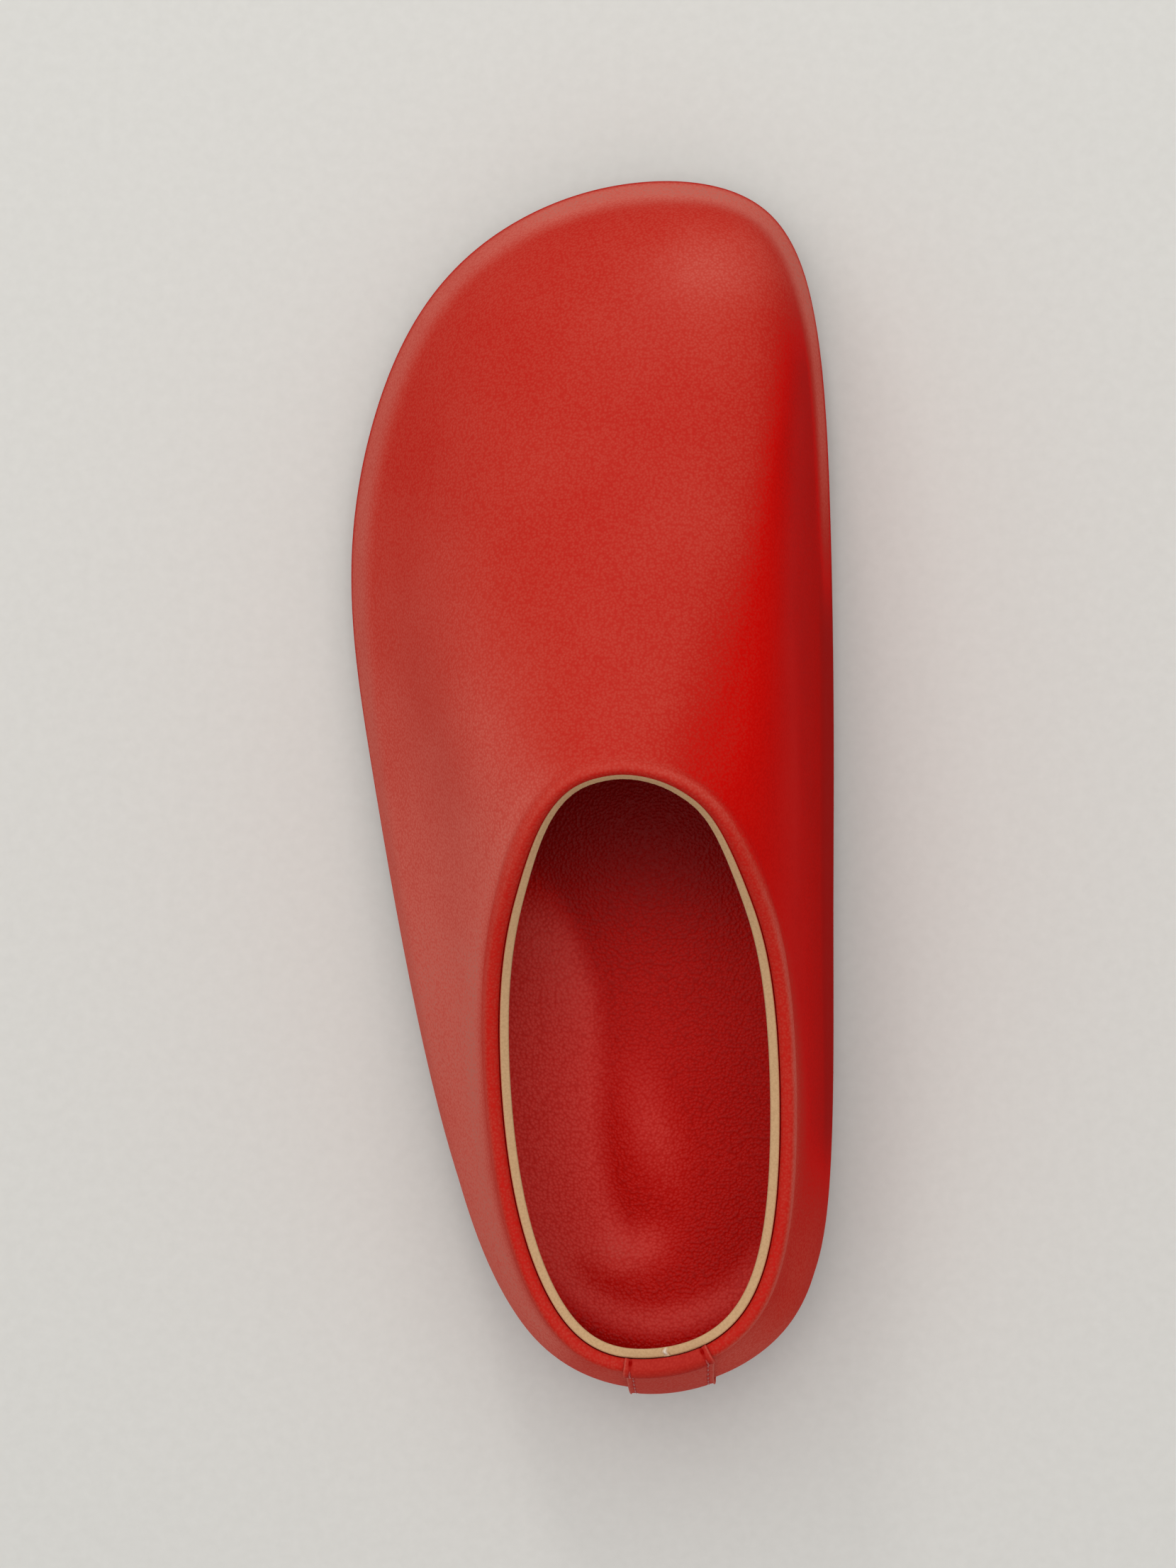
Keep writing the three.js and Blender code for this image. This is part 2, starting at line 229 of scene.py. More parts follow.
@dataclass(frozen=True)
class SoleLine:
    """Heights of the sole along the shoe, in mm."""

    forefoot: float = 8.0
    heel: float = 12.0
    step: Change = Change(-60.0, 30.0)
    toe_spring: float = 7.0
    spring_start: float = 75.0
    spring_end: float = 133.3
    thinning: float = 0.85
    arch_lift: float = 2.5
    arch_back: float = -50.0
    arch_front: float = 15.0

    def spring(self, y: np.ndarray) -> np.ndarray:
        """Returns how far the toe is lifted at y."""
        share = np.maximum(0.0, y - self.spring_start) / (self.spring_end - self.spring_start)
        return self.toe_spring * share**2

    def bottom(self, y: np.ndarray) -> np.ndarray:
        """Returns the height of the underside at y."""
        t = np.clip((y - self.arch_back) / (self.arch_front - self.arch_back), 0.0, 1.0)
        return self.spring(y) + self.arch_lift * np.sin(math.pi * t) ** 2

    def top(self, y: np.ndarray) -> np.ndarray:
        """Returns the height of the upper face at y."""
        wedge = blend(self.heel, self.forefoot, self.step.share(y))
        return wedge + self.thinning * self.spring(y)


@dataclass
class SectionGuide:
    """Guide points and directions of the sections at some places round the shoe."""

    foot: np.ndarray
    wall_top: np.ndarray
    edge: np.ndarray
    dome_start: np.ndarray
    shoulder: np.ndarray
    neck_pull: np.ndarray
    neck_base: np.ndarray
    top: np.ndarray
    mouth: np.ndarray
    neck_run: np.ndarray
    neck_out: np.ndarray
    pull: np.ndarray


@dataclass
class LastForm:
    """The last's form: the upper's outer face and everything measured from it, in mm."""

    length: float = 266.0
    ball_width: float = 108.4
    instep_height: float = 86.0
    quarter_height: float = 60.0
    heel_line: float = -132.7
    wall: float = 2.2
    side_wall: float = 14.0
    edge_leg: float = 3.0
    neck: float = 7.0
    bead_proud: float = 0.9
    bead_full: float = 3.2
    bead_fade: float = 6.0
    bead_softening: float = 0.4
    bead_soft: Change = Change(65.0, 100.0)
    seam_gap: float = 0.3
    plan_probe: float = 0.02
    face_probe: float = 0.01
    count: int = len(SECTIONS)
    sole: SoleLine = field(default_factory=SoleLine)
    runs: dict[str, ClosedSpline] = field(init=False, repr=False)

    def __post_init__(self) -> None:
        """Lays smooth runs through the section table."""
        names = [f.name for f in fields(Section) if f.name != "place"]
        self.runs = {n: ClosedSpline([getattr(row, n) for row in SECTIONS]) for n in names}

    def round_places(self, columns: int) -> np.ndarray:
        """Returns even places round the shoe."""
        return np.linspace(0.0, self.count, columns, endpoint=False)

    def y_of(self, percent: Values) -> np.ndarray:
        """Returns the place along the shoe of a percentage of its length."""
        return self.heel_line + self.length * np.asarray(percent, float) / 100.0

    def x_of(self, percent: Values) -> np.ndarray:
        """Returns the place across the shoe of a percentage of half the ball's width."""
        return self.ball_width / 2.0 * np.asarray(percent, float) / 100.0

    def plan(self, u: np.ndarray, across: str, along: str) -> np.ndarray:
        """Returns one of the two driving loops in plan, with no height."""
        x, y = self.x_of(self.runs[across](u)), self.y_of(self.runs[along](u))
        return np.stack([x, y, np.zeros_like(x)], -1)

    def foot_plan(self, u: np.ndarray) -> np.ndarray:
        """Returns the loop of the wall's foot."""
        return self.plan(u, "across", "along")

    def mouth_plan(self, u: np.ndarray) -> np.ndarray:
        """Returns the loop of the collar's edge."""
        return self.plan(u, "mouth_across", "mouth_along")

    def inward(self, loop: Callable[[np.ndarray], np.ndarray], u: np.ndarray) -> np.ndarray:
        """Returns the level direction into the loop, square to it."""
        ahead = loop(u + self.plan_probe) - loop(u - self.plan_probe)
        return unit(np.stack([-ahead[..., 1], ahead[..., 0], np.zeros_like(u)], -1))

    @staticmethod
    def sloped(level: np.ndarray, degrees: np.ndarray) -> np.ndarray:
        """Returns a level direction raised by an angle."""
        angle = np.radians(degrees)[..., None]
        return level * np.cos(angle) + np.array([0.0, 0.0, 1.0]) * np.sin(angle)

    def guide(self, u: np.ndarray) -> SectionGuide:
        """Works out the guide points of the sections.

        Args:
            u: places round the shoe, in rows of the section table.

        Returns:
            The guide points, one of each for every place.
        """
        value = {name: run(u) for name, run in self.runs.items()}
        inward = self.inward(self.foot_plan, u)
        foot = self.foot_plan(u)
        foot[..., 2] = self.sole.top(foot[..., 1]) + self.seam_gap
        edge = foot + inward * (self.side_wall * np.tan(np.radians(value["lean"])))[..., None]
        edge[..., 2] += self.side_wall
        wall_run = unit(edge - foot)
        shoulder_run = self.sloped(inward, value["shoulder"])
        mouth_in = self.inward(self.mouth_plan, u)
        neck_run = self.sloped(mouth_in, value["neck"])
        neck_out = self.sloped(-mouth_in, 90.0 - value["neck"])
        mouth = self.mouth_plan(u)
        rise = value["mouth_rise"] / 100.0
        mouth[..., 2] = blend(self.quarter_height, self.instep_height, rise)
        top = mouth + neck_out * self.wall
        neck_base = top - neck_run * self.neck
        dome_start = edge + shoulder_run * self.edge_leg
        return SectionGuide(
            foot=foot,
            wall_top=edge - wall_run * self.edge_leg,
            edge=edge,
            dome_start=dome_start,
            shoulder=dome_start + shoulder_run * value["reach"][..., None],
            neck_pull=neck_base - neck_run * value["pull"][..., None],
            neck_base=neck_base,
            top=top,
            mouth=mouth,
            neck_run=neck_run,
            neck_out=neck_out,
            pull=value["pull"],
        )

    def shell(self, u: np.ndarray, s: Values) -> np.ndarray:
        """Finds points of the upper's outer face.

        Args:
            u: places round the shoe.
            s: places up the section: wall to 1, its edge to 2, dome to 3, neck to 4.

        Returns:
            Points in mm.
        """
        u, s = np.broadcast_arrays(np.asarray(u, float), np.asarray(s, float))
        g = self.guide(u)
        t = s[..., None]
        wall = blend(g.foot, g.wall_top, np.clip(t, 0, 1))
        k = np.clip(t - WALL_TOP, 0, 1)
        edge = (1 - k) ** 2 * g.wall_top + 2 * k * (1 - k) * g.edge + k**2 * g.dome_start
        k = np.clip(t - DOME_START, 0, 1)
        rise = (1 - k) ** 3 * g.dome_start + 3 * k * (1 - k) ** 2 * g.shoulder
        dome = rise + 3 * k**2 * (1 - k) * g.neck_pull + k**3 * g.neck_base
        neck = blend(g.neck_base, g.top, t - NECK_START)
        above = np.where(t <= NECK_START, dome, neck)
        return np.where(t <= WALL_TOP, wall, np.where(t <= DOME_START, edge, above))

    def normal(self, u: np.ndarray, s: Values) -> np.ndarray:
        """Finds the outward direction of the outer face.

        Args:
            u: places round the shoe.
            s: places up the section.

        Returns:
            Directions of length one.
        """
        step, s = self.face_probe, np.asarray(s, float)
        around = self.shell(u + step, s) - self.shell(u - step, s)
        high, low = np.minimum(COLLAR_TOP, s + step), np.maximum(0.0, s - step)
        return unit(np.cross(around, self.shell(u, high) - self.shell(u, low)))

    def face(self, u: np.ndarray, s: Values, out: Values) -> np.ndarray:
        """Returns points a distance out from the outer face."""
        return self.shell(u, s) + self.normal(u, s) * np.asarray(out, float)[..., None]

    def inner_face(self, u: np.ndarray, s: float, further: float) -> np.ndarray:
        """Finds the inside of the wall, or a face a little further in, level at its foot.

        Args:
            u: places round the shoe.
            s: place up the section.
            further: distance in from the wall's inside, in mm.

        Returns:
            Points in mm.
        """
        if s == 0:
            return self.shell(u, 0.0) + self.inward(self.foot_plan, u) * (self.wall + further)
        return self.face(u, s, -self.wall - further)

    def neck_at(self, depth: Values) -> Values:
        """Returns the place up the section at a depth below the collar's top."""
        return COLLAR_TOP - depth / self.neck

    def bead_share(self, u: np.ndarray) -> np.ndarray:
        """Returns how full the rolled bead is round the collar, softer at the instep."""
        return 1.0 - self.bead_softening * self.bead_soft.share(self.runs["mouth_rise"](u))

    def bead_radius(self, u: np.ndarray) -> np.ndarray:
        """Returns half the collar's thickness at the bead."""
        return (self.wall + self.bead_proud * self.bead_share(u)) / 2.0

    def bead(self, u: np.ndarray, s: Values) -> np.ndarray:
        """Finds how proud the rolled bead stands.

        Args:
            u: places round the shoe.
            s: places up the section.

        Returns:
            Distances out from the outer face, in mm.
        """
        share = self.bead_share(u)
        depth = (COLLAR_TOP - np.asarray(s, float)) * self.neck / share
        return self.bead_proud * share * (1.0 - smooth_step(self.bead_full, self.bead_fade, depth))

    def bead_top(
        self, u: np.ndarray, degrees: float, out: Values, square: float = 2.5
    ) -> np.ndarray:
        """Finds points over the bead's rounded top.

        Args:
            u: places round the shoe.
            degrees: angle over the bead, 0 outside and 180 at the lining.
            out: distance out from the bead's face, in mm.
            square: 2 for a round top, more for a flatter one.

        Returns:
            Points in mm.
        """
        g = self.guide(u)
        half = self.bead_radius(u)[..., None]
        radius = half + np.asarray(out, float)[..., None]
        cos, sin = math.cos(math.radians(degrees)), math.sin(math.radians(degrees))
        across = math.copysign(abs(cos) ** (2.0 / square), cos) * radius
        up = abs(sin) ** (2.0 / square) * radius
        centre = g.mouth + (g.neck_out - g.neck_run) * half
        return centre + g.neck_out * across + g.neck_run * up


class NodeSheet:
    """A material's node tree, with short ways to add and join nodes."""

    def __init__(self, name: str) -> None:
        """Starts a material with an empty principled shader.

        Args:
            name: the material's name.
        """
        self.material = bpy.data.materials.new(name)
        self.material.use_nodes = True
        self.tree = self.material.node_tree
        self.tree.nodes.clear()
        self.shader = self.add("ShaderNodeBsdfPrincipled")
        output = self.add("ShaderNodeOutputMaterial")
        self.join(self.shader.outputs["BSDF"], output.inputs["Surface"])
        self.place = self.add("ShaderNodeTexCoord").outputs["Object"]

    def add(self, kind: str, **values: float | tuple) -> bpy.types.Node:
        """Adds a node.

        Args:
            kind: the node's type name.
            values: input values by socket name, with underscores for spaces.

        Returns:
            The new node.
        """
        node = self.tree.nodes.new(kind)
        for name, value in values.items():
            node.inputs[name.replace("_", " ")].default_value = value
        return node

    def join(self, source: Socket, target: Socket) -> None:
        """Links an output to an input."""
        self.tree.links.new(source, target)

    def feed(self, source: Socket, *names: str) -> None:
        """Links an output to inputs of the shader."""
        for name in names:
            self.join(source, self.shader.inputs[name])

    def set(self, **values: float | tuple) -> None:
        """Sets plain values on the shader's own sockets."""
        for name, value in values.items():
            self.shader.inputs[name.replace("_", " ")].default_value = value

    def noise(self, size: float, detail: float = 2.0, rough: float = 0.5) -> Socket:
        """Adds soft noise.

        Args:
            size: size of its features, in mm.
            detail: how many finer layers it has.
            rough: how strong the finer layers are.

        Returns:
            The noise's value socket.
        """
        scale = 1.0 / (size * MM)
        node = self.add("ShaderNodeTexNoise", Scale=scale, Detail=detail, Roughness=rough)
        self.join(self.place, node.inputs["Vector"])
        return node.outputs[0]

    def pebbles(self, size: float, softness: float = 0.35) -> Socket:
        """Adds rounded cells like leather grain.

        Args:
            size: size of a cell, in mm.
            softness: how far the cells run into each other.

        Returns:
            The socket of their height.
        """
        node = self.add("ShaderNodeTexVoronoi", Scale=1.0 / (size * MM), Randomness=1.0)
        node.feature = "SMOOTH_F1"
        node.inputs["Smoothness"].default_value = softness
        self.join(self.place, node.inputs["Vector"])
        return node.outputs["Distance"]

    def tones(self, source: Socket, *stops: tuple[float, Colour]) -> Socket:
        """Turns a value into a colour.

        Args:
            source: the value's socket.
            stops: values with the colours that they take, lowest first.

        Returns:
            The colour's socket.
        """
        node = self.add("ShaderNodeValToRGB")
        steps = node.color_ramp.elements
        while len(steps) < len(stops):
            steps.new(1.0)
        for step, (value, colour) in zip(steps, stops):
            step.position, step.color = value, (*colour, 1.0)
        self.join(source, node.inputs["Fac"])
        return node.outputs["Color"]

    def mottled(self, noise: Socket, deep: Colour, colour: Colour) -> Socket:
        """Returns the socket of a colour that noise varies from a deeper one."""
        return self.tones(noise, (NOISE_LOW, deep), (NOISE_HIGH, colour))

    def fade(self) -> Socket:
        """Reads the mesh's painted light and chips: painted shade, sheen and highlights on the
        leathers, real chips on the raw edge.

        Returns:
            The value's socket.
        """
        node = self.add("ShaderNodeAttribute")
        node.attribute_name = CHIPS_AND_LIGHT_ATTRIBUTE
        return node.outputs["Fac"]

    def blended(self, share: Socket, low: Socket, high: Socket) -> Socket:
        """Mixes two colours.

        Args:
            share: socket of the share of the second colour.
            low: the first colour's socket.
            high: the second colour's socket.

        Returns:
            The mixed colour's socket.
        """
        node = self.tree.nodes.new("ShaderNodeMix")
        node.data_type = "RGBA"
        self.join(share, node.inputs["Factor"])
        self.join(low, node.inputs[6])
        self.join(high, node.inputs[7])
        return node.outputs[2]

    def product(self, one: Socket, other: Socket) -> Socket:
        """Multiplies two values.

        Args:
            one: a value's socket.
            other: the other value's socket.

        Returns:
            The product's socket.
        """
        node = self.add("ShaderNodeMath")
        node.operation = "MULTIPLY"
        self.join(one, node.inputs[0])
        self.join(other, node.inputs[1])
        return node.outputs["Value"]

    def spread(
        self,
        source: Socket,
        low: float,
        high: float,
        start: float = NOISE_LOW,
        end: float = NOISE_HIGH,
    ) -> Socket:
        """Turns a value into a number between two.

        Args:
            source: the value's socket.
            low: the number at the start.
            high: the number at the end.
            start: the value that gives the first number.
            end: the value that gives the second number.

        Returns:
            The number's socket.
        """
        node = self.add("ShaderNodeMapRange", From_Min=start, From_Max=end, To_Min=low, To_Max=high)
        self.join(source, node.inputs["Value"])
        return node.outputs["Result"]

    def bump(
        self, height: Socket, depth: float, strength: float, under: Socket | None = None
    ) -> Socket:
        """Adds relief.

        Args:
            height: the relief's value socket.
            depth: its depth in mm.
            strength: how much of it shows.
            under: relief that it lies on, or none.

        Returns:
            The relief's direction socket.
        """
        node = self.add("ShaderNodeBump", Distance=depth * MM, Strength=strength)
        self.join(height, node.inputs["Height"])
        if under is not None:
            self.join(under, node.inputs["Normal"])
        return node.outputs["Normal"]


@dataclass(frozen=True)
class LeatherFinish:
    """Dyed leather: tones from painted shade to painted sheen, fine pebbled grain and a soft gloss,
    in mm.
    """

    name: str
    tones: tuple[tuple[float, Colour], ...]
    roughness: float
    grain: float
    grain_depth: float
    gloss: float
    gloss_roughness: float
    speckle: float
    speckle_low: float = 0.1
    speckle_high: float = 0.7
    cloud: float = 22.0
    cloud_depth: float = 0.1
    scuff: float = 3.0
    scuff_low: float = 0.05
    scuff_high: float = 0.06
    crease: float = 1.6
    crease_depth: float = 0.06
    crease_strength: float = 0.6

    def material(self) -> bpy.types.Material:
        """Builds the material.

        Returns:
            The material.
        """
        sheet = NodeSheet(self.name)
        pebbles = sheet.pebbles(self.grain)
        low, high = self.speckle_low, self.speckle_high
        grain_speckle = sheet.spread(pebbles, 1.0 + self.speckle, 1.0 - self.speckle, low, high)
        cloud = sheet.noise(self.cloud, detail=3.0)
        cloud = sheet.spread(cloud, 1.0 - self.cloud_depth, 1.0 + self.cloud_depth)
        # the painted light, varied by the grain and by soft random tone, picks the colour from the
        # tones; the grain scatters the painted sheen into speckles
        tone = sheet.product(sheet.product(sheet.fade(), grain_speckle), cloud)
        sheet.feed(sheet.tones(tone, *self.tones), "Base Color")
        scuff = sheet.noise(self.scuff, detail=3.0)
        low, high = self.roughness - self.scuff_low, self.roughness + self.scuff_high
        sheet.feed(sheet.spread(scuff, low, high), "Roughness")
        crease = sheet.noise(self.crease, detail=4.0, rough=0.6)
        creases = sheet.bump(crease, self.crease_depth, self.crease_strength)
        sheet.feed(sheet.bump(pebbles, self.grain_depth, 1.0, creases), "Normal", "Coat Normal")
        sheet.set(Specular_IOR_Level=0.0)
        sheet.set(Coat_Weight=self.gloss, Coat_Roughness=self.gloss_roughness)
        return sheet.material


@dataclass(frozen=True)
class RawEdgeFinish:
    """The cut edge of tanned leather: matte and fibrous, whitish where it is chipped."""

    name: str
    colour: Colour
    deep: Colour
    chip: Colour
    fibre: float = 0.5
    fibre_depth: float = 0.12
    fibre_strength: float = 0.5
    deep_until: float = 0.25
    colour_from: float = 0.6
    chip_start: float = 0.2
    chip_from: float = 0.5
    roughness: float = 0.8
    shine: float = 0.3

    def material(self) -> bpy.types.Material:
        """Builds the material.

        Returns:
            The material.
        """
        sheet = NodeSheet(self.name)
        fibres = sheet.noise(self.fibre, detail=4.0, rough=0.65)
        whole = (self.deep_until, self.deep), (self.colour_from, self.colour)
        broken = (self.chip_start, self.colour), (self.chip_from, self.chip)
        tan, chipped = sheet.tones(fibres, *whole), sheet.tones(fibres, *broken)
        sheet.feed(sheet.blended(sheet.fade(), tan, chipped), "Base Color")
        sheet.feed(sheet.bump(fibres, self.fibre_depth, self.fibre_strength), "Normal")
        sheet.set(Roughness=self.roughness, Specular_IOR_Level=self.shine)
        return sheet.material


@dataclass(frozen=True)
class RubberFinish:
    """Matte moulded rubber with a faint mottle."""

    name: str
    colour: Colour
    deep: Colour
    mottle: float = 9.0
    scuff: float = 2.0
    tooth: float = 0.5
    tooth_depth: float = 0.06
    tooth_strength: float = 0.5
    smoothest: float = 0.58
    roughest: float = 0.72
    shine: float = 0.4

    def material(self) -> bpy.types.Material:
        """Builds the material.

        Returns:
            The material.
        """
        sheet = NodeSheet(self.name)
        mottle = sheet.noise(self.mottle, detail=4.0)
        sheet.feed(sheet.mottled(mottle, self.deep, self.colour), "Base Color")
        scuff = sheet.noise(self.scuff, detail=3.0)
        sheet.feed(sheet.spread(scuff, self.smoothest, self.roughest), "Roughness")
        tooth = sheet.noise(self.tooth, detail=3.0)
        sheet.feed(sheet.bump(tooth, self.tooth_depth, self.tooth_strength), "Normal")
        sheet.set(Specular_IOR_Level=self.shine)
        return sheet.material


@dataclass(frozen=True)
class ThreadFinish:
    """Waxed sewing thread, twisted."""

    name: str
    colour: Colour
    deep: Colour
    twist: float = 0.25
    twist_depth: float = 0.08
    twist_strength: float = 0.6
    roughness: float = 0.55
    sheen: float = 0.2

    def material(self) -> bpy.types.Material:
        """Builds the material.

        Returns:
            The material.
        """
        sheet = NodeSheet(self.name)
        twist = sheet.noise(self.twist)
        sheet.feed(sheet.mottled(twist, self.deep, self.colour), "Base Color")
        sheet.feed(sheet.bump(twist, self.twist_depth, self.twist_strength), "Normal")
        sheet.set(Roughness=self.roughness, Sheen_Weight=self.sheen)
        return sheet.material


@dataclass(frozen=True)
class FloorFinish:
    """A plain pale floor with a faint tooth."""

    name: str
    colour: Colour
    deep: Colour
    tooth: float = 2.5
    roughness: float = 0.85
    shine: float = 0.25

    def material(self) -> bpy.types.Material:
        """Builds the material.

        Returns:
            The material.
        """
        sheet = NodeSheet(self.name)
        tooth = sheet.noise(self.tooth, detail=5.0, rough=0.6)
        sheet.feed(sheet.mottled(tooth, self.deep, self.colour), "Base Color")
        sheet.set(Roughness=self.roughness, Specular_IOR_Level=self.shine)
        return sheet.material


# upper tones: 0 painted shade along the wall's foot, 0.1 the deep red of the inner flank painted
# without sheen, 0.2 to 0.3 the bead and the dome with a little painted sheen, higher values paler
# with painted sheen and painted reflection up to the toe wall's pale rim
UPPER_LEATHER = LeatherFinish(
    "upper_leather",
    tones=(
        (0.0, (0.34, 0.0026, 0.0010)),
        (0.1, (0.60, 0.0022, 0.0008)),
        (0.2, (0.52, 0.0180, 0.0110)),
        (0.3, (0.54, 0.0380, 0.0240)),
        (0.85, (0.65, 0.1320, 0.0980)),
        (1.0, (0.54, 0.1480, 0.1140)),
    ),
    roughness=0.5,
    grain=0.55,
    grain_depth=0.06,
    gloss=0.06,
    gloss_roughness=0.34,
    speckle=0.24,
)
# insole tones: 0 painted shade under the throat and along the rim, 0.1 the insole's own red, higher
# values paler with painted sheen
INSOLE_LEATHER = LeatherFinish(
    "insole_leather",
    tones=(
        (0.0, (0.32, 0.0020, 0.0010)),
        (0.1, (0.62, 0.0060, 0.0030)),
        (0.3, (0.80, 0.0520, 0.0400)),
        (1.0, (0.84, 0.1500, 0.1200)),
    ),
    roughness=0.5,
    grain=0.65,
    grain_depth=0.16,
    gloss=0.14,
    gloss_roughness=0.32,
    speckle=0.32,
)
LINING_LEATHER = LeatherFinish(
    "lining_leather",
    tones=(
        (0.0, (0.50, 0.0040, 0.0020)),
        (0.3, (0.52, 0.0200, 0.0140)),
        (1.0, (0.50, 0.0800, 0.0600)),
    ),
    roughness=0.6,
    grain=0.9,
    grain_depth=0.05,
    gloss=0.0,
    gloss_roughness=0.4,
    speckle=0.25,
)
# strip tones: 0 painted shade in the stitch holes and the crease, higher values paler with painted
# sheen and painted highlights
STRIP_LEATHER = LeatherFinish(
    "strip_leather",
    tones=(
        (0.0, (0.36, 0.0020, 0.0010)),
        (0.3, (0.52, 0.0340, 0.0220)),
        (1.0, (0.58, 0.1300, 0.0970)),
    ),
    roughness=0.5,
    grain=0.55,
    grain_depth=0.05,
    gloss=0.08,
    gloss_roughness=0.32,
    speckle=0.25,
)
RAW_EDGE = RawEdgeFinish(
    "raw_tan_edge",
    colour=(0.62, 0.385, 0.200),
    deep=(0.50, 0.295, 0.145),
    chip=(0.82, 0.70, 0.58),
)
SOLE_RUBBER = RubberFinish("sole_rubber", (0.20, 0.008, 0.006), (0.16, 0.006, 0.005))
STITCH_THREAD = ThreadFinish("stitch_thread", (0.50, 0.030, 0.022), (0.34, 0.012, 0.008))
FLOOR = FloorFinish("pale_floor", (0.76, 0.75, 0.715), (0.73, 0.72, 0.685))


class Weave:
    """Gathers points and four-sided faces into one mesh."""

    def __init__(self) -> None:
        """Starts with nothing."""
        self.points: list[np.ndarray] = []
        self.faces: list[np.ndarray] = []
        self.finishes: list[np.ndarray] = []
        self.chips_and_painted_light_values: list[np.ndarray] = []
        self.count = 0

    def grid(
        self,
        points: np.ndarray,
        finish: int | np.ndarray = 0,
        fade: Values = 0.3,
        wrap_rows: bool = False,
        wrap_columns: bool = False,
    ) -> None:
        """Adds a sheet of faces over a grid of points.

        Args:
            points: rows of columns of points, in mm. Faces look along columns crossed with rows.
            finish: finish number, or one for each row of faces.
            fade: the points' painted light and chips, from 0 to 1.
            wrap_rows: whether the last row joins the first.
            wrap_columns: whether the last column joins the first.
        """
        rows, columns = points.shape[:2]
        index = self.count + np.arange(rows * columns).reshape(rows, columns)
        low = index if wrap_rows else index[:-1]
        high = np.roll(index, -1, axis=0) if wrap_rows else index[1:]
        if wrap_columns:
            quads = np.stack([low, np.roll(low, -1, 1), np.roll(high, -1, 1), high], -1)
        else:
            quads = np.stack([low[:, :-1], low[:, 1:], high[:, 1:], high[:, :-1]], -1)
        by_row = np.broadcast_to(np.asarray(finish), (quads.shape[0],))
        self.finishes.append(np.repeat(by_row, quads.shape[1]))
        self.faces.append(quads.reshape(-1, 4))
        self.points.append(points.reshape(-1, 3))
        self.chips_and_painted_light_values.append(np.broadcast_to(np.asarray(fade, float), (rows, columns)).reshape(-1))
        self.count += rows * columns

    def piece(self, name: str, *materials: bpy.types.Material) -> bpy.types.Object:
        """Makes the piece.

        Args:
            name: the piece's name.
            materials: its finishes, in the order of their numbers.

        Returns:
            The new object, smooth shaded, with points that coincide joined.
        """
        mesh = bpy.data.meshes.new(name)
        points, faces = np.concatenate(self.points) * MM, np.concatenate(self.faces)
        mesh.from_pydata(points.tolist(), [], faces.tolist())
        for material in materials:
            mesh.materials.append(material)
        finishes = np.concatenate(self.finishes).astype(np.int32)
        mesh.polygons.foreach_set("material_index", finishes)
        shade_sheen_and_chips = mesh.attributes.new(CHIPS_AND_LIGHT_ATTRIBUTE, "FLOAT", "POINT")
        shade_sheen_and_chips.data.foreach_set("value", np.concatenate(self.chips_and_painted_light_values).astype(np.float32))
        cleaned = bmesh.new()
        cleaned.from_mesh(mesh)
        bmesh.ops.remove_doubles(cleaned, verts=cleaned.verts, dist=JOIN_DISTANCE)
        bmesh.ops.recalc_face_normals(cleaned, faces=cleaned.faces)
        cleaned.to_mesh(mesh)
        cleaned.free()
        mesh.shade_smooth()
        piece = bpy.data.objects.new(name, mesh)
        bpy.context.scene.collection.objects.link(piece)
        return piece


def seat(piece: bpy.types.Object, slot: str, *nodes: str) -> bpy.types.Object:
    """Puts a piece on the shoe's body.

    Args:
        piece: the piece.
        slot: not used.
        nodes: nodes that it stands for.

    Returns:
        The piece.
    """
    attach(piece, BODY)
    if nodes:
        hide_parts(*nodes)
    return piece


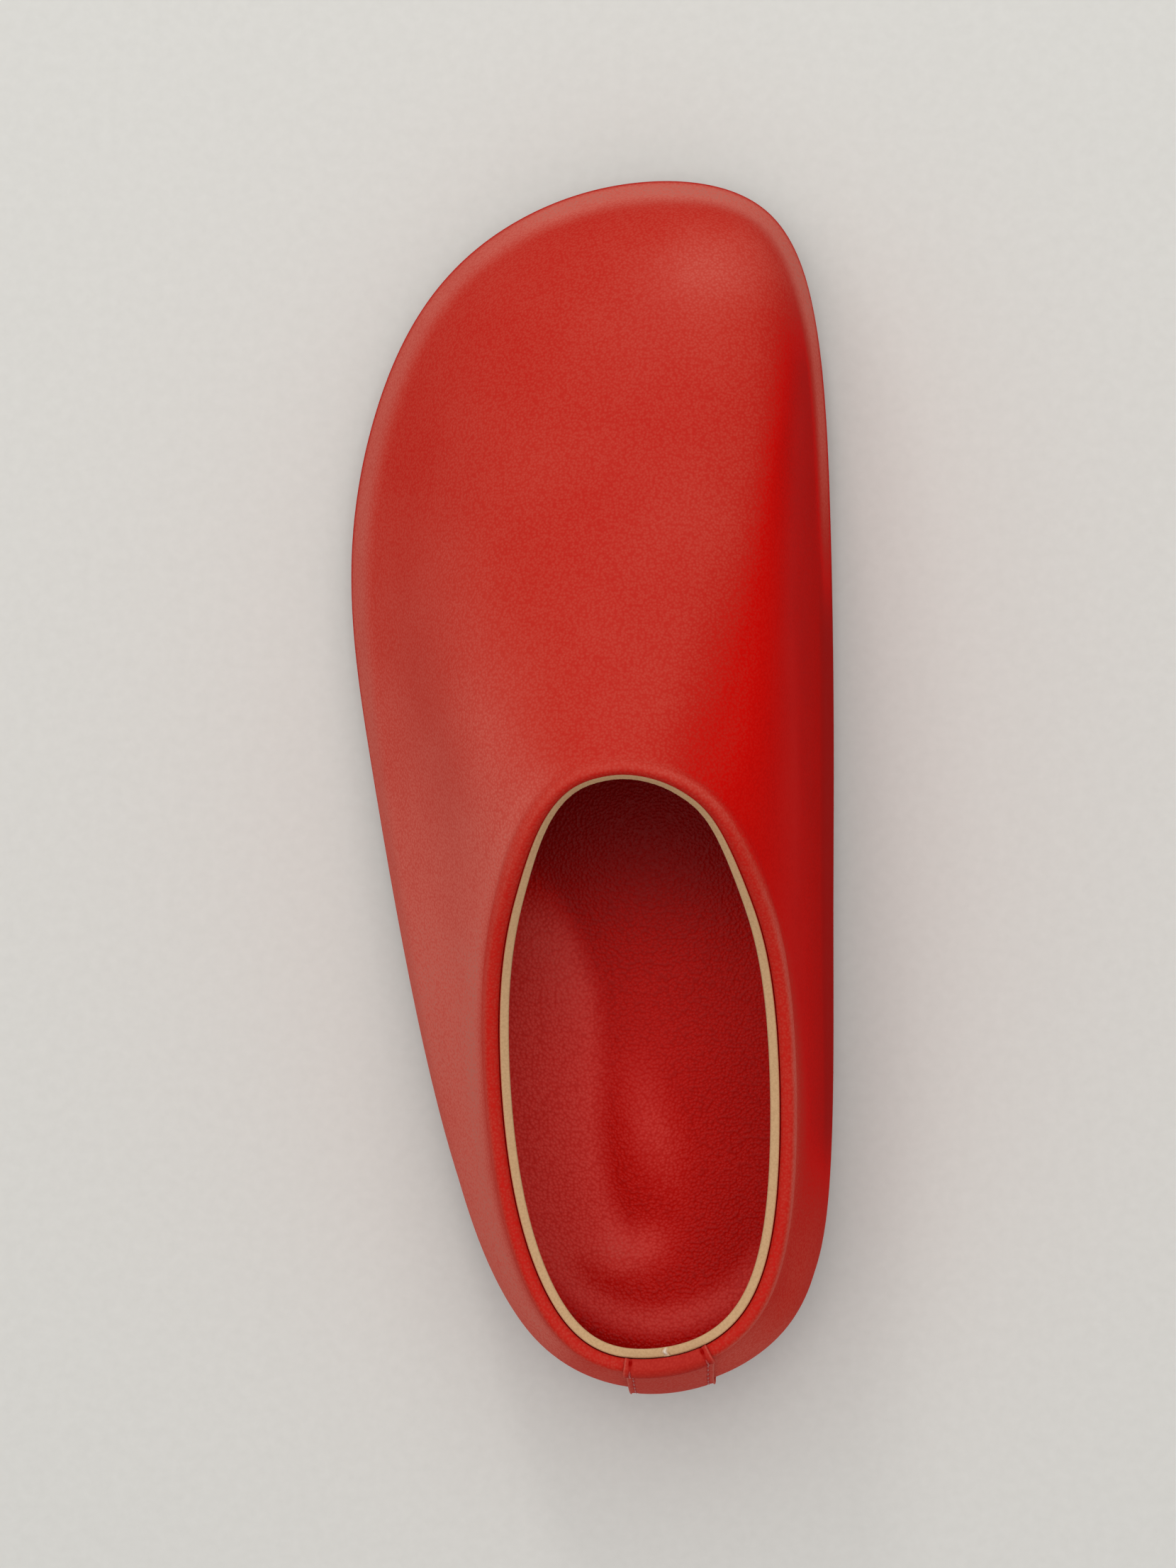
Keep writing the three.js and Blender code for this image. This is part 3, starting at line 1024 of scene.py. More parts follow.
@dataclass(frozen=True)
class UpperPaintedLight:
    """The upper's painted light, from 0 to 1: painted sheen on the dome, the outer side and the
    back, a painted highlight on the toe, a painted reflection along the wall's top edge, painted
    shade on the inner flank, over the bead and along the wall's foot, and painted sheen and
    highlight lines beside the bead.

    Changes are over the way that the face looks, over distances along the shoe in mm, over places
    up the section, or over distances from the wall's foot and from the mouth.
    """

    # painted sheen: a little on the dome, more on the outer side and on faces turned to the back
    dome: float = 0.30
    outer: float = 0.52
    back: float = 0.35
    inner_facing: Change = Change(0.10, 0.72)
    outer_facing: Change = Change(0.30, 0.75)
    back_facing: Change = Change(0.3, 0.8)
    toe_turn: float = 0.3
    toe_turning: Change = Change(30.0, 100.0)
    inner_from: Change = Change(-108.0, -72.0)
    inner_until: Change = Change(88.0, 114.0)
    outer_until: Change = Change(-60.0, 80.0)
    # painted highlight on the top of the toe
    cap_highlight: float = 0.24
    cap_across: SoftLine = SoftLine(27.0, 11.0)
    cap_along: SoftLine = SoftLine(111.0, 9.0)
    # painted reflection: a pale rim along the side wall's top edge, kept in part on the inner side
    rim: float = 0.95
    rim_outer: float = 0.6
    rim_kept: float = 0.7
    rim_foot: Change = Change(0.0, 0.4)
    rim_width: Change = Change(0.67, 1.6)
    rim_from: Change = Change(-50.0, 30.0)
    rim_inner_from: Change = Change(30.0, 90.0)
    least_lean: float = 0.5
    # painted shade: the inner flank deep red without sheen, darker towards its foot
    inner_shade: float = 0.02
    inner_shade_lift: float = 0.09
    inner_shade_climb: Change = Change(1.5, 2.7)
    neck_tilt: float = 0.08
    # painted shade over the bead: less sheen than on the flank
    bead_outer: float = 0.35
    bead_inner: float = 0.25
    bead_width_outer: float = 4.3
    bead_width_inner: float = 3.4
    bead_edge: Change = Change(-1.2, 1.2)
    bead_top: float = 0.24
    bead_top_rows: float = 6.0
    # painted sheen beside the bead on the outer side, and a painted highlight on the bead's
    # shoulder
    collar_line: SoftLine = SoftLine(6.3, 1.5, 0.12)
    shoulder_line: SoftLine = SoftLine(2.3, 0.6)
    shoulder_outer: float = 0.06
    shoulder_inner: float = 0.36
    # painted shade: a dark line along the wall's foot, against the sole
    foot_line: float = 0.8
    foot_edge: Change = Change(0.04, 0.22)

    def rim_share(self, place: np.ndarray, guide: SectionGuide, s: np.ndarray) -> np.ndarray:
        """Finds the share of the painted reflection, a pale rim along the side wall's top edge.

        Args:
            place: points of the outer face.
            guide: guide points of their sections.
            s: places up the section.

        Returns:
            The share at each point.
        """
        lean = np.maximum(self.least_lean, level_length(guide.edge - guide.foot))
        inset = level_length(place - guide.foot) / lean
        width = 1.0 - self.rim_width.share(inset)
        return self.rim_foot.share(s) * width * self.rim_from.share(place[..., 1])

    def collar(
        self, tone: np.ndarray, to_mouth: np.ndarray, inner: np.ndarray, outer: np.ndarray
    ) -> np.ndarray:
        """Lays the bead's painted shade, and the painted sheen and highlight lines beside it, over
        a tone.

        Args:
            tone: tone of the face below the bead.
            to_mouth: ways from the collar's edge to the points.
            inner: how far each point looks to the inner side.
            outer: share of the outer side's painted sheen.

        Returns:
            The new tone at each point.
        """
        out = level_length(to_mouth) + self.neck_tilt * to_mouth[..., 2]
        width = blend(self.bead_width_outer, self.bead_width_inner, inner)
        bead = blend(self.bead_outer, self.bead_inner, inner)
        shoulder = blend(self.shoulder_outer, self.shoulder_inner, inner)
        rolled = blend(bead, tone, self.bead_edge.share(out - width))
        pale = outer * self.collar_line.share(out) + shoulder * self.shoulder_line.share(out)
        return rolled + pale

    def tone(self, last: LastForm, u: np.ndarray, s: Values) -> np.ndarray:
        """Finds the painted light of the outer face.

        Args:
            last: the last's form.
            u: places round the shoe.
            s: place up the section.

        Returns:
            The tone at each place, from 0 to 1.
        """
        s = np.broadcast_to(np.asarray(s, float), u.shape)
        place, guide, facing = last.shell(u, s), last.guide(u), last.normal(u, s)
        x, y = place[..., 0], place[..., 1]
        # painted sheen on faces turned out or back, painted shade on faces turned in
        turned = facing[..., 0] - self.toe_turn * self.toe_turning.share(y)
        inner_side = self.inner_facing.share(turned)
        outer_side = self.outer_facing.share(-facing[..., 0])
        inner = inner_side * self.inner_from.share(y) * (1.0 - self.inner_until.share(y))
        outer = outer_side * (1.0 - self.outer_until.share(y))
        back = self.back * self.back_facing.share(-facing[..., 1])
        # painted highlight on the top of the toe
        cap_highlight = self.cap_highlight * self.cap_across.share(x) * self.cap_along.share(y)
        rim = self.rim_share(place, guide, s) * blend(1.0, self.rim_outer, outer_side)
        tone = blend(self.dome + self.outer * np.maximum(outer, back) + cap_highlight, self.rim, rim)
        # painted shade on the inner flank, darker towards its foot
        inner_shade = self.inner_shade + self.inner_shade_lift * self.inner_shade_climb.share(s)
        kept = self.rim_kept * rim * self.rim_inner_from.share(y)
        tone = blend(tone, inner_shade, inner * (1.0 - kept))
        tone = self.collar(tone, place - guide.mouth, inner_side, outer)
        # painted shade along the wall's foot
        foot = self.foot_line * (1.0 - self.foot_edge.share(s))
        return np.clip(blend(tone, 0.0, foot), 0.0, 1.0)


@dataclass(frozen=True)
class Ripple:
    """One wave of a small unevenness, round the shoe and up the section."""

    amount: float
    rounds: float
    climb: float = 0.0
    start: float = 0.0

    def height(self, turn: np.ndarray, s: Values) -> np.ndarray:
        """Returns the wave's height at a turn round the shoe and a place up the section."""
        return self.amount * np.sin(self.rounds * turn + self.climb * s + self.start)


class UpperFace(IntEnum):
    """Finishes of the upper."""

    OUTSIDE = 0
    INSIDE = 1


@dataclass
class Upper:
    """The moulded shell with its rolled collar, in mm."""

    last: LastForm
    # the outer face's painted sheen, highlights, reflection and shade
    painted_light: UpperPaintedLight = UpperPaintedLight()
    columns: int = 416
    wall_steps: int = 9
    edge_steps: int = 6
    dome_steps: int = 56
    neck_steps: int = 14
    bead_steps: int = 18
    inner_steps: int = 26
    inner_top: float = 3.5
    foot_tuck: float = 0.2
    tuck_height: float = 0.15
    swell: float = 0.16
    swell_from: Change = Change(1.9, 2.2)
    swell_until: Change = Change(2.75, 3.0)
    ripples: tuple[Ripple, ...] = (
        Ripple(1.0, 3.0, climb=2.1),
        Ripple(0.6, 5.0, climb=-3.3, start=1.0),
        Ripple(0.4, 9.0, climb=5.0),
    )

    def moulding(self, u: np.ndarray, s: Values) -> np.ndarray:
        """Finds the small unevenness of hand-lasted leather.

        Args:
            u: places round the shoe.
            s: place up the section.

        Returns:
            How far the face stands out at each place, in mm.
        """
        turn = 2.0 * math.pi * u / self.last.count
        waves = sum(ripple.height(turn, s) for ripple in self.ripples)
        free = self.swell_from.share(s) * (1.0 - self.swell_until.share(s))
        tuck = -self.foot_tuck * (1.0 - smooth_step(0.0, self.tuck_height, s)) ** 2
        return self.swell * free * waves + tuck

    def climbs(self, u: np.ndarray) -> list[Values]:
        """Finds the places up the section of the outer rows, from the foot to the bead.

        Args:
            u: places round the shoe.

        Returns:
            One place for each row, or one for each point of it on the neck.
        """
        path = spaced(0.0, WALL_TOP, self.wall_steps)
        path += spaced(WALL_TOP, DOME_START, self.edge_steps)
        path += spaced(DOME_START, NECK_START, self.dome_steps)
        shoulder = self.last.neck_at(self.last.bead_radius(u))
        return path + [blend(NECK_START, shoulder, k) for k in spaced(0.0, 1.0, self.neck_steps)]

    def build(self) -> list[bpy.types.Object]:
        """Builds the shell as one closed form.

        Returns:
            The piece, in a list of one.
        """
        last = self.last
        u = last.round_places(self.columns)
        climbs, turns = self.climbs(u), range(self.bead_steps + 1)
        rows = [last.face(u, s, last.bead(u, s) + self.moulding(u, s)) for s in climbs]
        rows += [last.bead_top(u, HALF_TURN * i / self.bead_steps, 0.0) for i in turns]
        outside = len(rows) - self.bead_steps // 4
        inner = [last.neck_at(self.inner_top)] + spaced(NECK_START, DOME_START, self.inner_steps)
        inner += [DOME_START, WALL_TOP, WALL_TOP / 2.0, 0.0]
        rows += [last.inner_face(u, s, 0.0) for s in inner]
        # painted light of the outer rows and the bead's top; none on the inside
        chips_and_painted_light_values = [self.painted_light.tone(last, u, s) for s in climbs]
        shares = [smooth_step(0.0, self.painted_light.bead_top_rows, i) for i in turns]
        neck = chips_and_painted_light_values[-1]
        chips_and_painted_light_values += [blend(neck, self.painted_light.bead_top, share) for share in shares]
        chips_and_painted_light_values += [np.zeros_like(u)] * len(inner)
        finish = np.where(np.arange(len(rows)) < outside, UpperFace.OUTSIDE, UpperFace.INSIDE)
        weave = Weave()
        weave.grid(np.stack(rows), finish, np.stack(chips_and_painted_light_values), wrap_rows=True, wrap_columns=True)
        piece = weave.piece("moulded_upper", UPPER_LEATHER.material(), LINING_LEATHER.material())
        return [seat(piece, "upper_leather", "upper")]


class LiningFace(IntEnum):
    """Finishes of the lining band."""

    DYED = 0
    RAW = 1


@dataclass
class CollarLining:
    """The lining band with its raw edge, butted together at the back seam, in mm."""

    last: LastForm
    columns: int = 416
    wall: float = 2.0
    skived: float = 0.6
    depth: float = 14.0
    gap: float = 0.12
    edge_round: float = 0.22
    edge_rows: int = 9
    low_shares: tuple[float, ...] = (1.0, 0.75, 0.5, 0.25)
    neck_depths: tuple[float, ...] = (7.0, 5.0, 3.0, 1.5)
    seam_at: float = 0.22
    seam_reach: float = 0.12
    seam_clear: float = 0.13
    seam_columns: int = 61
    seam_width: float = 0.4
    seam_depth: float = 0.7
    seam_sway: float = 0.25
    seam_wave: float = 3.0
    chip_rise: float = 0.2
    chip_amount: float = 1.4
    crack_beside: float = 1.3
    crack_width: float = 0.5
    crack_depth: float = 0.5
    probe: float = 0.01
    fray: tuple[Ripple, ...] = (Ripple(0.02, 61.0), Ripple(0.015, 143.0, start=1.0))

    def places(self) -> np.ndarray:
        """Finds places round the collar, crowded at the butt seam.

        Returns:
            The places, in order.
        """
        even = self.last.round_places(self.columns)
        near = self.seam_at + np.linspace(-self.seam_reach, self.seam_reach, self.seam_columns)
        clear = even[np.abs(even - self.seam_at) > self.seam_clear]
        return np.sort(np.concatenate([clear, near]))

    def climbs(self, u: np.ndarray) -> list[np.ndarray]:
        """Finds the places up the section of the band's rows, from its lower edge.

        Args:
            u: places round the collar.

        Returns:
            The places of each row.
        """
        last = self.last
        # the dome's cubic curve reaches the neck at three times its pull
        drop = (self.depth - last.neck) / (3.0 * last.guide(u).pull)
        depths = (*self.neck_depths, last.seam_gap + self.edge_round)
        neck = [np.full_like(u, last.neck_at(d)) for d in depths]
        return [NECK_START - drop * share for share in self.low_shares] + neck

    def cut_edge(self, u: np.ndarray) -> tuple[list[np.ndarray], list[np.ndarray]]:
        """Finds the raw edge with its frayed fibres and the notch at the seam.

        Args:
            u: places round the collar.

        Returns:
            Rows of points across the edge, and how far each point is chipped.
        """
        last = self.last
        top = np.full_like(u, last.neck_at(last.seam_gap))
        fray = sum(ripple.height(u, 0.0) for ripple in self.fray)
        ahead = last.mouth_plan(u + self.probe) - last.mouth_plan(u - self.probe)
        from_seam = (u - self.seam_at) * level_length(ahead) / (2.0 * self.probe)
        rows, chips = [], []
        for depth in np.linspace(self.edge_round, self.wall - self.edge_round, self.edge_rows):
            middle = math.sin(math.pi * depth / self.wall)
            beside = from_seam - self.seam_sway * math.cos(self.seam_wave * depth)
            cleft = hump(beside, 0.0, self.seam_width)
            cracks = hump(np.abs(beside) / self.seam_width, self.crack_beside, self.crack_width)
            notch = (self.chip_rise * middle - self.seam_depth * (1.0 - middle)) * cleft
            drop = fray + notch - self.crack_depth * self.seam_depth * cracks
            level = last.face(u, top, -last.wall - self.gap - depth)
            rows.append(level + drop[:, None] * last.guide(u).neck_run)
            chips.append(np.clip(self.chip_amount * middle * cleft, 0.0, 1.0))
        return rows, chips

    def build(self) -> list[bpy.types.Object]:
        """Builds the band.

        Returns:
            The piece, in a list of one.
        """
        last = self.last
        u = self.places()
        climbs = self.climbs(u)
        walls = [self.skived] + [self.wall] * (len(climbs) - 1)
        back = -last.wall - self.gap
        backs = [last.face(u, s, back) for s in climbs]
        fronts = [last.face(u, s, back - wall) for s, wall in zip(climbs, walls)]
        edge, chips = self.cut_edge(u)
        rows = backs + edge + fronts[::-1]
        plain = [np.zeros_like(u)] * len(backs)
        number = np.arange(len(rows))
        raw = (number >= len(backs) - 1) & (number < len(backs) + len(edge))
        finish = np.where(raw, LiningFace.RAW, LiningFace.DYED)
        chips_and_painted_light_values = np.stack(plain + chips + plain)
        weave = Weave()
        weave.grid(np.stack(rows), finish, chips_and_painted_light_values, wrap_rows=True, wrap_columns=True)
        piece = weave.piece("raw_edged_lining", LINING_LEATHER.material(), RAW_EDGE.material())
        return [seat(piece, "lining_leather", "collar_lining")]


@dataclass
class HeelStrip:
    """The strip over the back seam and its two rows of stitches, in mm."""

    last: LastForm
    width: float = 18.5
    middle: float = 19.3
    wall: float = 0.8
    gap: float = 0.2
    foot: float = 0.12
    wrap: float = 120.0
    wall_steps: int = 36
    edge_steps: int = 10
    dome_steps: int = 100
    neck_steps: int = 22
    bead_steps: int = 24
    crowd: float = 2.4
    edge_columns: int = 25
    middle_columns: int = 22
    edge_round: float = 0.2
    lip: float = 0.16
    lip_line: SoftLine = SoftLine(0.22, 0.2)
    nub: float = 0.3
    nub_height: float = 0.15
    groove: float = 0.2
    groove_width: float = 0.28
    dimple: float = 0.32
    dimple_width: float = 0.3
    stitch_inset: float = 1.35
    stitch_start: float = 1.2
    stitch_length: float = 2.1
    stitch_gap: float = 0.7
    stitch_points: int = 9
    thread: float = 0.42
    thread_rise: float = 0.45
    thread_sink: float = 0.12
    thread_end: float = 0.35
    thread_sides: int = 8
    probe: float = 0.05
    lift_probe: float = 0.5
    # painted light on the strip: painted sheen on its face, painted shade over the bead and in the
    # crease before it, a painted highlight on the lips, painted shade in the stitch grooves and
    # holes
    face_tone: float = 0.52
    bead_tone: float = 0.22
    bead_from: Change = Change(3.2, 3.42)
    bead_crease: SoftLine = SoftLine(3.27, 0.07, 0.5)
    lip_tone: float = 0.4
    groove_tone: float = 0.15
    hole_tone: float = 0.8
    side_tone: float = 0.5
    end_tone: float = 0.3

    def column(self, offset: Values, s: float) -> np.ndarray:
        """Finds the places round the shoe at distances from the strip's middle.

        Args:
            offset: the distances, in mm.
            s: place up the section.

        Returns:
            One place for each distance.
        """
        ends = self.last.shell(np.array([-self.probe, 0.0, self.probe]), min(s, COLLAR_TOP))
        speed = np.linalg.norm(ends[2] - ends[0]) / (2 * self.probe)
        return (self.middle + np.asarray(offset, float) - ends[1, 0]) / speed

    def row(self, climb: float, offset: np.ndarray, out: np.ndarray) -> np.ndarray:
        """Finds one row of the strip.

        Args:
            climb: place up the section, or past 4, angle over the bead as 4 plus degrees over 180.
            offset: distances from the strip's middle, in mm.
            out: distances out from the upper, in mm.

        Returns:
            The row's points.
        """
        last = self.last
        if climb <= COLLAR_TOP:
            u = self.column(offset, climb)
            return last.face(u, climb, last.bead(u, climb) + out)
        u = self.column(offset, COLLAR_TOP)
        return last.bead_top(u, (climb - COLLAR_TOP) * HALF_TURN, out)

    def climbs(self) -> list[float]:
        """Finds places up the strip from the sole to its end over the bead.

        Returns:
            The places, lowest first.
        """
        last, share = self.last, self.wrap / HALF_TURN
        path = spaced(self.foot, WALL_TOP, self.wall_steps)
        path += spaced(WALL_TOP, DOME_START, self.edge_steps)
        path += spaced(DOME_START, NECK_START, self.dome_steps)
        shoulder = last.neck_at((last.wall + last.bead_proud) / 2.0)
        path += spaced(NECK_START, shoulder, self.neck_steps)
        over = range(1, self.bead_steps + 1)
        return path + [COLLAR_TOP + share * i / self.bead_steps for i in over]

    def offsets(self) -> np.ndarray:
        """Finds distances across the strip from its middle, crowded towards its edges.

        Returns:
            The distances, in order.
        """
        half = self.width / 2.0
        side = half - np.linspace(0.0, self.crowd, self.edge_columns)
        inner = np.linspace(self.crowd - half, half - self.crowd, self.middle_columns)[1:-1]
        return np.concatenate([-side, inner, side[::-1]])

    def holes(self, run: np.ndarray) -> np.ndarray:
        """Finds how far the nearest stitch hole is.

        Args:
            run: distances along the strip.

        Returns:
            The distance to the nearest hole from each.
        """
        pitch = self.stitch_length + self.stitch_gap
        first = self.stitch_start - self.stitch_gap / 2.0 - pitch / 2.0
        return np.abs((run - first) % pitch - pitch / 2.0)

    def front(self, backs: np.ndarray, climbs: np.ndarray) -> tuple[np.ndarray, np.ndarray]:
        """Finds the front's relief: turned edges, stitch grooves and holes.

        Args:
            backs: the back's points.
            climbs: places of its rows.

        Returns:
            Distances out from the upper, and the painted light at each point.
        """
        from_edge = self.width / 2.0 - np.abs(self.offsets())
        spine = backs[:, backs.shape[1] // 2]
        widest = climbs[spine[:, 1].argmin()]
        turned = np.clip(from_edge / self.edge_round, 0.0, 1.0)
        round_off = self.edge_round * (1.0 - np.sqrt(1.0 - (1.0 - turned) ** 2))
        lip = self.lip_line.share(from_edge)
        line = hump(from_edge, self.stitch_inset, self.groove_width)
        hole = hump(self.holes(distances(spine)), 0.0, self.dimple_width)[:, None] * line
        proud = self.lip + self.nub * hump(climbs, widest, self.nub_height)
        out = self.gap + self.wall - round_off + proud[:, None] * lip
        # painted sheen on the face, painted shade over the bead and in its crease, painted
        # highlight on the lips, painted shade in grooves and holes
        face = blend(self.face_tone, self.bead_tone, self.bead_from.share(climbs))
        face = (face - self.bead_crease.share(climbs))[:, None]
        fade = face + self.lip_tone * lip - self.groove_tone * line - self.hole_tone * hole
        return out - self.groove * line - self.dimple * hole, np.clip(fade, 0.0, 1.0)

    def build(self) -> list[bpy.types.Object]:
        """Builds the strip and its stitching.

        Returns:
            Both pieces.
        """
        offset, climbs = self.offsets(), self.climbs()
        level = np.full_like(offset, self.gap)
        backs = np.stack([self.row(c, offset, level) for c in climbs])
        out, fade = self.front(backs, np.array(climbs))
        fronts = np.stack([self.row(c, offset, o) for c, o in zip(climbs, out)])
        weave = Weave()
        weave.grid(fronts, fade=fade)
        weave.grid(backs[:, ::-1], fade=0.0)
        weave.grid(np.stack([backs[:, 0], fronts[:, 0]], 1), fade=self.side_tone)
        weave.grid(np.stack([fronts[:, -1], backs[:, -1]], 1), fade=self.side_tone)
        weave.grid(np.stack([backs[0], fronts[0]]), fade=self.end_tone)
        weave.grid(np.stack([fronts[-1], backs[-1]]), fade=self.end_tone)
        strip = weave.piece("back_strip", STRIP_LEATHER.material())
        return [seat(strip, "strip_leather", "heel_strip"), self.stitches()]

    def stitches(self) -> bpy.types.Object:
        """Builds the thread of both rows as one piece.

        Returns:
            The piece.
        """
        weave = Weave()
        climbs = self.climbs()
        for side in (-1.0, 1.0):
            offset = np.array([side * (self.width / 2.0 - self.stitch_inset)])
            out = np.array([self.gap + self.wall - self.groove])
            line = np.stack([self.row(c, offset, out)[0] for c in climbs])
            lift = np.stack([self.row(c, offset, out + self.lift_probe)[0] for c in climbs]) - line
            start, run = self.stitch_start, distances(line)
            while start + self.stitch_length < run[-1]:
                weave.grid(self.stitch(run, line, unit(lift), start), wrap_columns=True)
                start += self.stitch_length + self.stitch_gap
        piece = weave.piece("strip_stitching", STITCH_THREAD.material())
        return seat(piece, "strip_leather")

    def stitch(
        self, run: np.ndarray, line: np.ndarray, lift: np.ndarray, start: float
    ) -> np.ndarray:
        """Finds one stitch: a short round thread that dips into its holes.

        Args:
            run: distance along the row at each of its points.
            line: the row's points.
            lift: outward directions at them.
            start: where the stitch starts along the row.

        Returns:
            Rings of points along the thread.
        """
        along = np.linspace(0.0, 1.0, self.stitch_points)
        at = start + along * self.stitch_length
        spine = np.stack([np.interp(at, run, line[:, k]) for k in range(3)], -1)
        out = unit(np.stack([np.interp(at, run, lift[:, k]) for k in range(3)], -1))
        side = np.cross(unit(np.gradient(spine, axis=0)), out)
        arch = np.sin(math.pi * along) ** 0.5
        spine = spine + out * (self.thread * self.thread_rise * arch - self.thread_sink)[:, None]
        thick = self.thread / 2.0 * blend(self.thread_end, 1.0, arch)[:, None]
        angles = np.linspace(0.0, 2.0 * math.pi, self.thread_sides, endpoint=False)
        rings = [spine + (side * math.cos(a) + out * math.sin(a)) * thick for a in angles]
        return np.stack(rings, 1)


@dataclass(frozen=True)
class PaintedSheenPatch:
    """A painted sheen patch on the insole: an oval made paler, in mm and degrees."""

    across: float
    along: float
    half_width: float
    half_length: float
    turn: float
    amount: float

    def share(self, x: np.ndarray, y: np.ndarray) -> np.ndarray:
        """Finds how pale the patch makes each place.

        Args:
            x: places across the shoe.
            y: places along the shoe.

        Returns:
            The patch's strength at each place.
        """
        cos, sin = math.cos(math.radians(self.turn)), math.sin(math.radians(self.turn))
        dx, dy = x - self.across, y - self.along
        wide, long = dx * cos + dy * sin, dy * cos - dx * sin
        return self.amount * hump(wide, 0.0, self.half_width) * hump(long, 0.0, self.half_length)


@dataclass(frozen=True)
class TroughPoint:
    """A point of the line that the foot has pressed into the insole, in mm."""

    along: float
    across: float


# painted sheen on the ridge, the heel and the outer forefoot
PAINTED_SHEEN_PATCHES: tuple[PaintedSheenPatch, ...] = (
    PaintedSheenPatch(14.5, -77.0, 5.0, 13.0, 18.0, 0.12),
    PaintedSheenPatch(10.3, -103.6, 7.0, 4.5, 20.0, 0.26),
    PaintedSheenPatch(-8.5, -38.0, 5.0, 12.0, 25.0, 0.10),
)
TROUGH_LINE: tuple[TroughPoint, ...] = (
    TroughPoint(-100.3, 7.7),
    TroughPoint(-90.9, 3.5),
    TroughPoint(-78.2, 1.8),
    TroughPoint(-61.2, 2.2),
    TroughPoint(-46.0, 0.9),
    TroughPoint(-32.4, -4.2),
    TroughPoint(-21.4, -9.3),
)


def from_rim(points: np.ndarray, rim: np.ndarray) -> np.ndarray:
    """Finds the distance in plan from each point to the nearest point of a rim.

    Args:
        points: the points.
        rim: the rim's points.

    Returns:
        One distance for each point.
    """
    nearest = [level_length(rim - point).min() for point in points.reshape(-1, 3)]
    return np.array(nearest).reshape(points.shape[:-1])


def ladder(
    loop: np.ndarray, rungs: int, height: Callable[[np.ndarray], np.ndarray]
) -> np.ndarray:
    """Fills a loop with rungs from its inner to its outer side.

    Args:
        loop: the loop's points.
        rungs: how many steps each rung has.
        height: gives heights from points.

    Returns:
        Rungs of points, heel to toe.
    """
    index = np.arange(len(loop) // 2 + 1)
    start, end = loop[index], loop[-index % len(loop)]
    t = np.linspace(0.0, 1.0, rungs + 1)
    points = blend(start[:, None], end[:, None], t[None, :, None])
    points[..., 2] = height(points)
    return points


